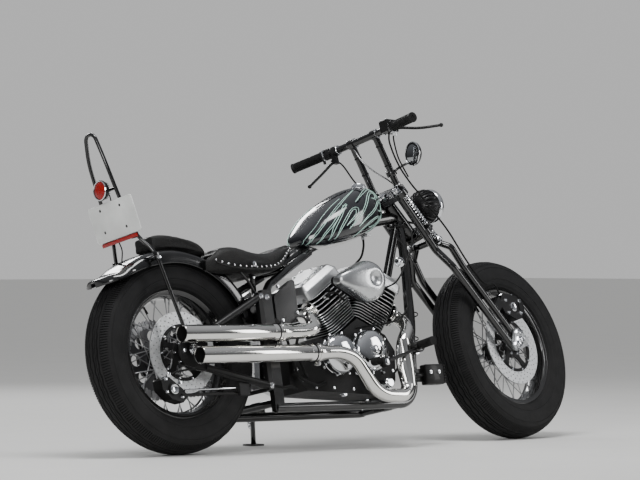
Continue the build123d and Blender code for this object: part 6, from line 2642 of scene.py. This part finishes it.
@dataclass
class Bars(Assembly):
    """Ribbed grips, clamps, small controls, the mirror and the cables by the bars."""

    def grip(self, side: int) -> Shape:
        """A ribbed grip with an end cap, marked 1 for its bright inner ring.

        Args:
            side: 1 for the left side and -1 for the right.

        Returns:
            The grip.
        """
        start, end = bar_point(side * 168), bar_point(side * 286)
        length = (end - start).length
        profile: list[tuple[float, float]] = [(0, 0), (16, 0), (19.5, 1), (19.5, 5), (17, 6)]
        for k in range(24):
            at = 8 + k * (length - 18) / 24
            profile += [(15.6, at), (15.6, at + 1.1), (17.2, at + 1.8), (17.2, at + 3.4)]
        profile += [
            (17.4, length - 8), (18.4, length - 6), (18.4, length - 1.5), (17, length), (7, length), (6, length - 2),
            (0, length - 2)
        ]
        out = Shape().spun(profile, start, end - start, 36)
        inner = bar_point(side * 160)
        return out.spun([(13, 0), (20, 0), (21, 1), (21, 5), (20, 6), (13, 6)], inner, start - inner, 36, 1, True)

    def clamps(self) -> Shape:
        """Bright clamps, screws and nuts on the bar and risers.

        Returns:
            The bright parts.
        """
        f = STANCE.fork
        out = Shape()
        for s in (-1, 1):
            for y in (43, 65):
                at = bar_point(s * y)
                out.spun(
                    [(12.8, -2.5), (17.4, -2.5), (17.6, -2), (17.6, 2), (17.4, 2.5), (12.8, 2.5)], at, (0, s, 0), 30, 0,
                    True
                )
            at = Vector(f(*RISER_FOOT, s * SPRING_Y))
            out.spun(
                [(12.2, -3), (14.5, -3), (15, -2), (15, 2), (14.5, 3), (12.2, 3)], at,
                Vector(f(731, 44)) - Vector(f(*RISER_FOOT)), 28, 0, True
            )
            for y in (119, 130):
                spot = bar_point(s * y)
                out.screw(spot + Vector((12, 0, 15)), (0.55, 0, 0.8), 4)
                out.screw(spot + Vector((14, 0, -12)), (0.8, 0, -0.6), 4)
            out.spun(
                [(12.8, -1.5), (17, -1.5), (18, 0), (17, 1.5), (12.8, 1.5)], bar_point(s * 108), (0, s, 0), 28, 0, True
            )
        for x, y in ((990, -118), (1038, -118), (990, -141), (1038, -141)):
            out.screw((x, y, 1124), (0, 0, 1), 3.4)
        return out

    def controls(self) -> Shape:
        """Switch buttons and cable stops, marked 1 where bright.

        Returns:
            The small parts.
        """
        out = Shape()
        left = bar_point(156)
        for k, (dx, dz) in enumerate(((-16, 10), (-18, 0), (-14, -12))):
            out.box(left + Vector((dx, -6 + 6 * k, dz)), (9, 8, 6), soft=1.4, mark=k % 2)
        out.rod(left + Vector((0, 14, -16)), left + Vector((0, 14, -30)), 5, 1)
        right = bar_point(-167)
        out.box(right + Vector((-4, 0, 0)), (34, 15, 30), soft=4)
        out.rod(right + Vector((2, 0, -12)), right + Vector((10, 4, -34)), 4.6, 1, 14, 1)
        out.rod(right + Vector((-8, 0, -12)), right + Vector((-2, 4, -34)), 4.6, 1, 14, 1)
        return out

    def mirror(self) -> tuple[Shape, Shape]:
        """The round mirror's back with its bright rim, and its glass.

        Returns:
            The back, then the glass.
        """
        facing = Vector((-0.958, 0.286, 0.05)).normalized()
        at = Vector(STANCE.fork(774, 142, -117))
        back = Shape().spun(
            [
                (41.5, 1.5), (43, 0), (43, -4), (41.5, -10), (36, -16), (26, -20), (12, -22.5), (0, -23), (0, -20),
                (36, -8), (40, 0)
            ],
            at, facing, 56
        )
        rim = Shape().spun(
            [(41, 2.2), (43.6, 1.6), (44.2, -0.4), (43.6, -2.4), (41, -2.6), (40, 0)], at, facing, 56, 1, True
        )
        glass = Shape().spun([(41, 0.6), (30, 2.0), (16, 3.0), (0, 3.4)], at, facing, 48)
        glass.spun([(41, 0.5), (0, -3)], at, facing, 48)
        stem = eased([
            at - facing * 20, at - facing * 24 + Vector((0, 16, -14)), Vector(STANCE.fork(770, 84, -84)),
            Vector(STANCE.fork(770, 62, -62))
        ])
        back.tube(stem, 4.6, 12)
        place = Vector(STANCE.fork(770, 58, -54))
        way = Vector(STANCE.fork(*RISER_TOP)) - Vector(STANCE.fork(*RISER_FOOT))
        back.spun([(12.4, -9), (18, -9), (19, -7.5), (19, 7.5), (18, 9), (12.4, 9)], place, way, 30, 0, True)
        back.screw(place + Vector((-10, 14, 10)), (-0.5, 0.7, 0.3), 4.5, 1)
        return join((back, -1), (rim, -1)), glass

    def cables(self) -> Shape:
        """The cables that stay with the steering, marked 1 for the bright braided one.

        Returns:
            The cables.
        """
        f = STANCE.fork
        arc = [
            f(901, 87, 40), f(898, 60, 20), f(872, 30, -2), f(820, 22, -24), f(760, 44, -34), f(715, 74, -20),
            f(695, 81, 0)
        ]
        out = Shape().tube(eased(arc), 2.8, 10, 1)
        idle = [
            bar_point(-165) + Vector((8, 0, -30)), Vector(f(880, 96, -128)), Vector(f(820, 74, -112)),
            Vector(f(770, 80, -96)), Vector(f(720, 92, -80))
        ]
        out.tube(eased(idle), 2.8, 10)
        clutch = [
            bar_point(150) + Vector((10, 0, -24)), Vector(f(870, 80, 120)), Vector(f(800, 50, 96)),
            Vector(f(735, 40, 76)), Vector(f(712, 18, 66))
        ]
        out.tube(eased(clutch), 3, 10)
        up = Vector(f(*RISER_TOP)) - Vector(f(*RISER_FOOT))
        for y, h in ((-SPRING_Y, 800), (SPRING_Y, 800), (-SPRING_Y, 870), (SPRING_Y, 860)):
            s = (h - RISER_FOOT[0]) / 181
            at = f(h, RISER_FOOT[1] + 68 * s, y)
            out.spun([(12.3, -2.5), (13.6, -2.5), (13.6, 2.5), (12.3, 2.5)], at, up, 24, 0, True)
        return out

    def build(self) -> list[bpy.types.Object]:
        """Makes and dresses the pieces.

        Returns:
            The pieces, each one an object.
        """
        mirror, glass = self.mirror()
        return [
            Make.piece(
                "ribbed_grips", join((self.grip(1), -1), (self.grip(-1), -1)), Body.STEERING, [GRIP_RUBBER, CHROME], 32,
                ["grips"]
            ),
            Make.piece("bar_clamps", self.clamps(), Body.STEERING, CHROME, 34),
            Make.piece("small_controls", self.controls(), Body.STEERING, [SATIN_BLACK, CHROME], 34),
            Make.piece("round_mirror", mirror, Body.STEERING, [GLOSS_BLACK, CHROME], 42, ["mirror"]),
            Make.piece("mirror_glass", glass, Body.STEERING, MIRROR_GLASS, 60),
            Make.piece("bar_cables", self.cables(), Body.STEERING, [GRIP_RUBBER, STEEL], 60),
        ]


# Chain, foot parts, frame and stand


@dataclass
class Running(Assembly):
    """The drive chain, foot parts, the box by the down tubes, and bolts on the frame and rear brake."""

    pitch: float = 15.875
    chain_y: float = 84.0
    rear_sprocket: float = 121.4
    front_sprocket: float = 60.8
    front_middle: tuple[float, float] = (566.0, 300.0)

    def chain(self) -> Shape:
        """Roller chain links along the chain's line.

        Returns:
            The chain.
        """
        r0, r1 = self.rear_sprocket, self.front_sprocket
        c0, c1 = Vector((0, AXLE)), Vector(self.front_middle)
        line = c1 - c0
        base = math.atan2(line.y, line.x)
        open_by = math.acos((r0 - r1) / line.length)
        path = []
        for k in range(29):
            a = base + open_by - 2 * open_by * k / 28
            path.append((c1.x + r1 * math.cos(a), self.chain_y, c1.y + r1 * math.sin(a)))
        for k in range(41):
            a = base - open_by - (2 * math.pi - 2 * open_by) * k / 40
            path.append((c0.x + r0 * math.cos(a), self.chain_y, c0.y + r0 * math.sin(a)))
        total = sum((Vector(path[n]) - Vector(path[n - 1])).length for n in range(len(path)))
        count = round(total / self.pitch / 2)
        half = self.pitch / 2

        def link(y: float, roller: bool) -> Shape:
            """One link with plates at a distance to each side.

            Args:
                y: how far to each side its plates are.
                roller: whether it has the rollers.

            Returns:
                The link.
            """
            out = Shape()
            ring = [(
                -half + 6.6 * math.cos(a), 6.6 * math.sin(a)
            ) for a in (math.pi / 2 + math.pi * k / 5 for k in range(6))]
            ring += [(
                half + 6.6 * math.cos(a), 6.6 * math.sin(a)
            ) for a in (-math.pi / 2 + math.pi * k / 5 for k in range(6))]
            for s in (-1, 1):
                rows = [[Vector((x, s * d, z)) for x, z in ring] for d in (y, y + 1.7)]
                out.rings(rows if s > 0 else rows[::-1])
            for x in (-half, half):
                out.rod(
                    (x, -y if roller else -y - 2.6, 0), (x, y if roller else y + 2.6, 0), 5 if roller else 2.5, 0, 8
                )
            return out

        shifted = []
        step = self.pitch / total
        lengths = [0.0]
        loop = path + [path[0]]
        for a, b in zip(loop, loop[1:]):
            lengths.append(lengths[-1] + (Vector(b) - Vector(a)).length)
        for n in range(240):
            want = ((n / 240 + step) % 1.0) * total
            i = next(k for k in range(len(loop) - 1) if lengths[k + 1] >= want)
            s = (want - lengths[i]) / (lengths[i + 1] - lengths[i])
            shifted.append(tuple(Vector(loop[i]).lerp(Vector(loop[i + 1]), s)))
        inner = Repeat.run("path", link(5.6, True), count, STEEL, path=path, closed=True)
        return join((inner, 0), (Repeat.run("path", link(7.6, False), count, STEEL, path=shifted, closed=True), 0))

    def feet(self) -> Shape:
        """Ribbed rubber on the foot pegs and pads, marked 1 for bright bolts and 2 for rubber.

        Returns:
            The foot parts.
        """
        out = Shape()
        for s in (-1, 1):
            start, end = Vector((938, s * 210, 316.2)), Vector((938, s * 286, 322))
            long = (end - start).length
            profile: list[tuple[float, float]] = [(0, 0), (13.5, 0), (15.4, 1.5), (15.4, 5)]
            for k in range(8):
                at = 8 + k * (long - 16) / 8
                profile += [(13, at), (13, at + 3), (15.2, at + 4), (15.2, at + 6.5)]
            profile += [(15.6, long - 4), (15, long), (0, long)]
            out.spun(profile, start, end - start, 26, 2)
            pad, low = Vector((774, s * 196, 262)), Vector((774, s * 220, 262))
            out.spun([(0, 0), (17, 0), (18.6, 1.5), (18.6, 21), (17, 23), (0, 23)], pad, low - pad, 28, 2)
            out.spun([(12, 22.5), (12, 25), (10, 26), (0, 26)], pad, low - pad, 24, 1)
            out.spun(
                [(0, 0), (13.5, 0), (14.6, 1), (14.6, 27), (13.5, 29), (0, 29)], (730, s * 197, 265), (0, s, 0), 24, 2
            )
            out.nut((998, s * 138, 312), (0, s, 0), 12, 8, 1)
            out.nut((938, s * 222, 312), (0, s, 0), 9, 5, 1)
            out.screw((930, s * 213, 305), (0, s, 0), 6, 1)
            out.rod((1000, s * 112, 330), (998, s * 128, 312), 15, 2)
            out.rod((942, s * 198, 300), (900, s * 150, 262), 4, 0.5)
            out.nut((942, s * 202, 300), (0, s, 0), 7, 5, 1)
        out.rod((900, 150, 262), (700, 138, 268), 4, 0.5, 14, 1)
        out.nut((700, 134, 268), (0, 1, 0), 8, 6, 1)
        return out.rod((900, -150, 262), (905, -112, 240), 4, 0.5)

    def box(self) -> Shape:
        """The smooth dark box with fins at its front and two bolts.

        Returns:
            The box, marked 1 for its bolts.
        """
        out = Shape().box((1060, -135, 225), (86, 33, 71), soft=5)
        fin = Shape().box((0, 0, 0), (2.4, 31, 66), soft=0.8)
        out = join((out, -1), (Repeat.run("row", fin, 4, SATIN_BLACK, step=(0, 0, 0.01), start=(1104, -135, 225)), 0))
        rib = Shape().box((0, 0, 0), (9, 33, 3), soft=0.8)
        out = join((out, -1), (Repeat.run("row", rib, 7, SATIN_BLACK, step=(0, 0, 10), start=(1106, -135, 195)), 0))
        out.rod((1018, -130, 224), (972, -130, 224), 10, 2)
        out.box((994, -130, 224), (46, 6, 46), soft=1.5)
        for x, z in ((1036, 232), (1076, 232)):
            out.screw((x, -151.5, z), (0, -1, 0), 6.5, 1)
        return out

    def bolts(self) -> Shape:
        """Bright nuts and bolts on the frame, side panel, rear arm and rear brake, with welds marked 1.

        Returns:
            The nuts, bolts and welds.
        """
        out = Shape()
        for s in (-1, 1):
            out.nut((0, s * 126, AXLE), (0, s, 0), 17, 12)
            out.nut((-34, s * 118, AXLE), (-1, 0, 0), 8, 6)
            out.nut((324, s * 118, 205), (0, s, 0), 11, 8)
            out.nut((324, s * 118, 508), (0, s, 0), 11, 8)
            for x, z in ((396, 540), (470, 450), (402, 424)):
                out.screw((x, s * 127, z), (0, s, 0), 6)
            out.nut((350, s * 122, 505), (0, s, 0), 9, 6)
            out.nut((978, s * 126, 205), (0, s, 0), 8, 5)
            out.weld((340, s * 110, 130), (1, 0, 0), 16, 2.4, 1)
            out.weld(
                STANCE.fork(610, -32, s * 20), Vector((1070, s * 56, 570)) - Vector(STANCE.fork(610, -14, s * 10)), 15,
                2.4, 1
            )
            out.weld((352, s * 104, 516), (0.6, 0, 0.6), 13.5, 2.2, 1)
            out.weld((925, s * 96, 130), (0, 1, 0), 13, 2.2, 1)
        for h in (550, 686):
            out.weld(STANCE.fork(h, 0), Vector(STANCE.fork(1, 0)) - Vector(STANCE.fork(0, 0)), 25, 2.6, 1)
        out.spun([(17, 0), (17, 3), (14.5, 4.5), (12, 3), (0, 3)], (-80, -100, 205), (0, -1, 0), 30)
        out.spun([(10, 0), (10, 3), (8, 4), (0, 4)], (-52, -96, 226), (0, -1, 0), 24)
        for x, z in ((-112, 238), (-112, 196), (-50, 178)):
            out.screw((x, -96, z), (0, -1, 0), 6)
        out.nut((205, -106, 187), (0, -1, 0), 11, 8)
        out.rod((-40, -103, 200), (196, -108, 202), 3.2, 0.5)
        out.spun([(3, 0), (8, 0), (9, 3), (9, 12), (6, 15), (0, 15)], (-96, -98, 246), (-0.2, 0, 1), 18)
        return out

    def hoses(self) -> Shape:
        """The rear brake hose, and the wiring with its clips, on the frame.

        Returns:
            The hoses.
        """
        out = Shape().tube(
            eased([
                (-92, -92, 252), (-60, -118, 262), (20, -132, 262), (140, -128, 232), (250, -124, 214),
                (352, -124, 200), (430, -128, 190)
            ]),
            3.2, 10
        )
        out.tube(
            eased([(1012, -104, 330), (1046, -90, 400), (1075, -66, 520), (1090, -44, 600), (1102, -30, 660)]), 4.6, 10
        )
        for x, y, z in ((1030, -96, 360), (1060, -78, 450), (1084, -52, 560)):
            out.spun([(17.2, -2), (19, -2), (19, 2), (17.2, 2)], (x + 8, y + 10, z), (0.28, 0.2, 0.93), 24, 0, True)
        return out

    def horn(self) -> Shape:
        """A round bright horn under the tank's nose on a short stay.

        Returns:
            The horn.
        """
        at = Vector((1050, -52, 640))
        out = Shape().spun(
            [(0, 0), (16, 0), (18, 2), (18, 6), (14, 9), (9, 16), (5, 19), (0, 20)], at, (-0.4, -0.9, 0), 36
        )
        out.rod(at, at + Vector((26, 32, 4)), 4, 0.5, 12)
        return out

    def stand(self) -> Shape:
        """The stand's bolt and spring, marked 1 where bright.

        Returns:
            The bolt and the spring.
        """
        pivot = Vector((455, 146, 150))
        out = Shape().nut(pivot + Vector((3, 10, 12)), (0.17, 0.60, 0.78), 11, 8, 1)
        top, low = pivot + Vector((-16, 8, 6)), pivot.lerp(Vector((540, 255, 60)), 0.62) + Vector((-9, 0, 0))
        way = low - top
        _, side, over = along_of(top, low)
        coil = []
        coils = 9
        for k in range(coils * 10 + 1):
            s = k / (coils * 10)
            a = 2 * math.pi * coils * s
            coil.append(top + way * (0.2 + 0.6 * s) + (side * math.cos(a) + over * math.sin(a)) * 6)
        out.tube([top] + coil + [low], 1.5, 6, 1)
        return out

    def build(self) -> list[bpy.types.Object]:
        """Makes and dresses the pieces.

        Returns:
            The pieces, each one an object.
        """
        return [
            Make.piece("roller_chain", self.chain(), Body.FRAME, STEEL, 34, ["drive_chain"]),
            Make.piece("foot_rubbers", self.feet(), Body.FRAME, [SATIN_BLACK, CHROME, GRIP_RUBBER], 32),
            Make.piece("finned_box", self.box(), Body.FRAME, [SATIN_BLACK, CHROME], 34, ["regulator"]),
            Make.piece("frame_bolts", self.bolts(), Body.FRAME, [CHROME, GLOSS_BLACK], 34),
            Make.piece("frame_hoses", self.hoses(), Body.FRAME, [GRIP_RUBBER, CHROME], 60),
            Make.piece("horn", self.horn(), Body.FRAME, CHROME, 50),
            Make.piece("stand_spring", self.stand(), Body.SIDE_STAND, [GLOSS_BLACK, CHROME], 40),
        ]


ASSEMBLIES: list[Assembly] = [
    Solids(),
    Wheel("rear", Body.REAR_WHEEL, 0.0, 56.0, -65.0, 137.5, 94.0, 30, STEEL),
    Exhaust(),
    Tank(),
    Seating(),
    Tail(),
    Engine(),
    Front(),
    Bars(),
    Running(),
    Wheel("front", Body.FRONT_WHEEL, FRONT_AXLE, 46.0, -55.0, 144.5, 98.0, 32, STEEL),
]


# Studio


@dataclass
class Studio:
    """A plain pale floor, soft lights and the camera at the photograph's angle."""

    eye: Point = (-6950.5, -8391.8, 623.8)
    right: Point = (0.7429, -0.6694, 0.0043)
    up: Point = (-0.0085, -0.0030, 1.0)
    lens: float = 185.6
    floor_size: float = 70.0

    def camera(self) -> None:
        """Creates the camera at the photograph's place."""
        pitch = Matrix.Rotation(math.radians(STANCE.pitch), 3, "Y")
        right = (pitch @ Vector(self.right)).normalized()
        up = pitch @ Vector(self.up)
        up = (up - right * up.dot(right)).normalized()
        back = right.cross(up)
        eye = (pitch @ Vector(self.eye) + Vector((-STANCE.middle[0], -STANCE.middle[1], STANCE.lift))) / 1000
        data = bpy.data.cameras.new("photo_camera")
        data.lens = self.lens
        data.sensor_width = 36.0
        data.clip_start, data.clip_end = 0.5, 200.0
        camera = bpy.data.objects.new("photo_camera", data)
        turn = Matrix((right, up, back)).transposed().to_4x4()
        camera.matrix_world = Matrix.Translation(eye) @ turn
        bpy.context.scene.collection.objects.link(camera)
        bpy.context.scene.camera = camera

    def floor(self) -> None:
        """A wide pale floor."""
        half = self.floor_size
        mesh = bpy.data.meshes.new("floor")
        mesh.from_pydata([(-half, -half, 0), (half, -half, 0), (half, half, 0), (-half, half, 0)], [], [(0, 1, 2, 3)])
        floor = bpy.data.objects.new("floor", mesh)
        bpy.context.scene.collection.objects.link(floor)
        material = bpy.data.materials.new("pale_floor")
        material.use_nodes = True
        tree = material.node_tree
        shader = tree.nodes["Principled BSDF"]
        place = tree.nodes.new("ShaderNodeTexCoord")
        noise = tree.nodes.new("ShaderNodeTexNoise")
        noise.inputs["Scale"].default_value = 3.0
        ramp = tree.nodes.new("ShaderNodeValToRGB")
        ramp.color_ramp.elements[0].color = (0.66, 0.66, 0.65, 1)
        ramp.color_ramp.elements[1].color = (0.70, 0.70, 0.69, 1)
        tree.links.new(place.outputs["Object"], noise.inputs["Vector"])
        tree.links.new(noise.outputs["Fac"], ramp.inputs["Fac"])
        tree.links.new(ramp.outputs["Color"], shader.inputs["Base Color"])
        shader.inputs["Roughness"].default_value = 0.9
        shader.inputs["Specular IOR Level"].default_value = 0.1
        mesh.materials.append(material)

    def light(self, name: str, place: Point, aim: Point, size: tuple[float, float], power: float) -> None:
        """A soft rectangular light aimed at a point.

        Args:
            name: its name.
            place: where it is, in metres.
            aim: the point it faces.
            size: its width and height.
            power: its power in watts.
        """
        data = bpy.data.lights.new(name, "AREA")
        data.shape = "RECTANGLE"
        data.size, data.size_y = size
        data.energy = power
        lamp = bpy.data.objects.new(name, data)
        toward = Vector(aim) - Vector(place)
        lamp.matrix_world = Matrix.Translation(place) @ toward.to_track_quat("-Z", "Y").to_matrix().to_4x4()
        bpy.context.scene.collection.objects.link(lamp)

    def sky(self) -> None:
        """A plain room: pale to look at, darker round the horizon for what mirrors in the metal."""
        world = bpy.data.worlds.new("studio")
        bpy.context.scene.world = world
        world.use_nodes = True
        tree = world.node_tree
        back = tree.nodes["Background"]
        place = tree.nodes.new("ShaderNodeTexCoord")
        split = tree.nodes.new("ShaderNodeSeparateXYZ")
        ramp = tree.nodes.new("ShaderNodeValToRGB")
        ramp.color_ramp.elements[0].position = 0.0
        ramp.color_ramp.elements[0].color = (0.035, 0.035, 0.037, 1)
        ramp.color_ramp.elements[1].position = 0.75
        ramp.color_ramp.elements[1].color = (0.42, 0.43, 0.45, 1)
        tree.links.new(place.outputs["Generated"], split.inputs[0])
        tree.links.new(split.outputs["Z"], ramp.inputs["Fac"])
        path = tree.nodes.new("ShaderNodeLightPath")
        mix = tree.nodes.new("ShaderNodeMix")
        mix.data_type = "RGBA"
        colours = [s for s in mix.inputs if s.type == "RGBA"]
        tree.links.new(path.outputs["Is Glossy Ray"], mix.inputs["Factor"])
        tree.links.new(ramp.outputs["Color"], colours[1])
        colours[0].default_value = (0.62, 0.62, 0.62, 1)
        tree.links.new([s for s in mix.outputs if s.type == "RGBA"][0], back.inputs["Color"])
        back.inputs["Strength"].default_value = 0.9

    def build(self) -> None:
        """Sets up camera, floor, world and lights."""
        self.camera()
        self.floor()
        self.sky()
        self.light("top_light", (-0.4, -0.6, 4.2), (0, 0, 0.4), (2.2, 1.3), 130)
        self.light("side_light", (-4.2, -2.6, 2.0), (0, 0, 0.5), (1.3, 1.6), 70)
        self.light("front_light", (3.8, -3.4, 1.7), (0.3, 0, 0.5), (1.2, 2.4), 55)
        self.light("back_light", (1.5, 4.5, 2.6), (0, 0, 0.6), (2.2, 0.8), 55)


def main() -> None:
    """Builds the studio and every sub-assembly in order."""
    logging.basicConfig(level=logging.INFO, format="%(name)s: %(message)s")
    Studio().build()
    for assembly in ASSEMBLIES:
        for piece in assembly.build():
            LOG.info("%s: %s", type(assembly).__name__, piece.name)


if __name__ == "__main__":
    main()
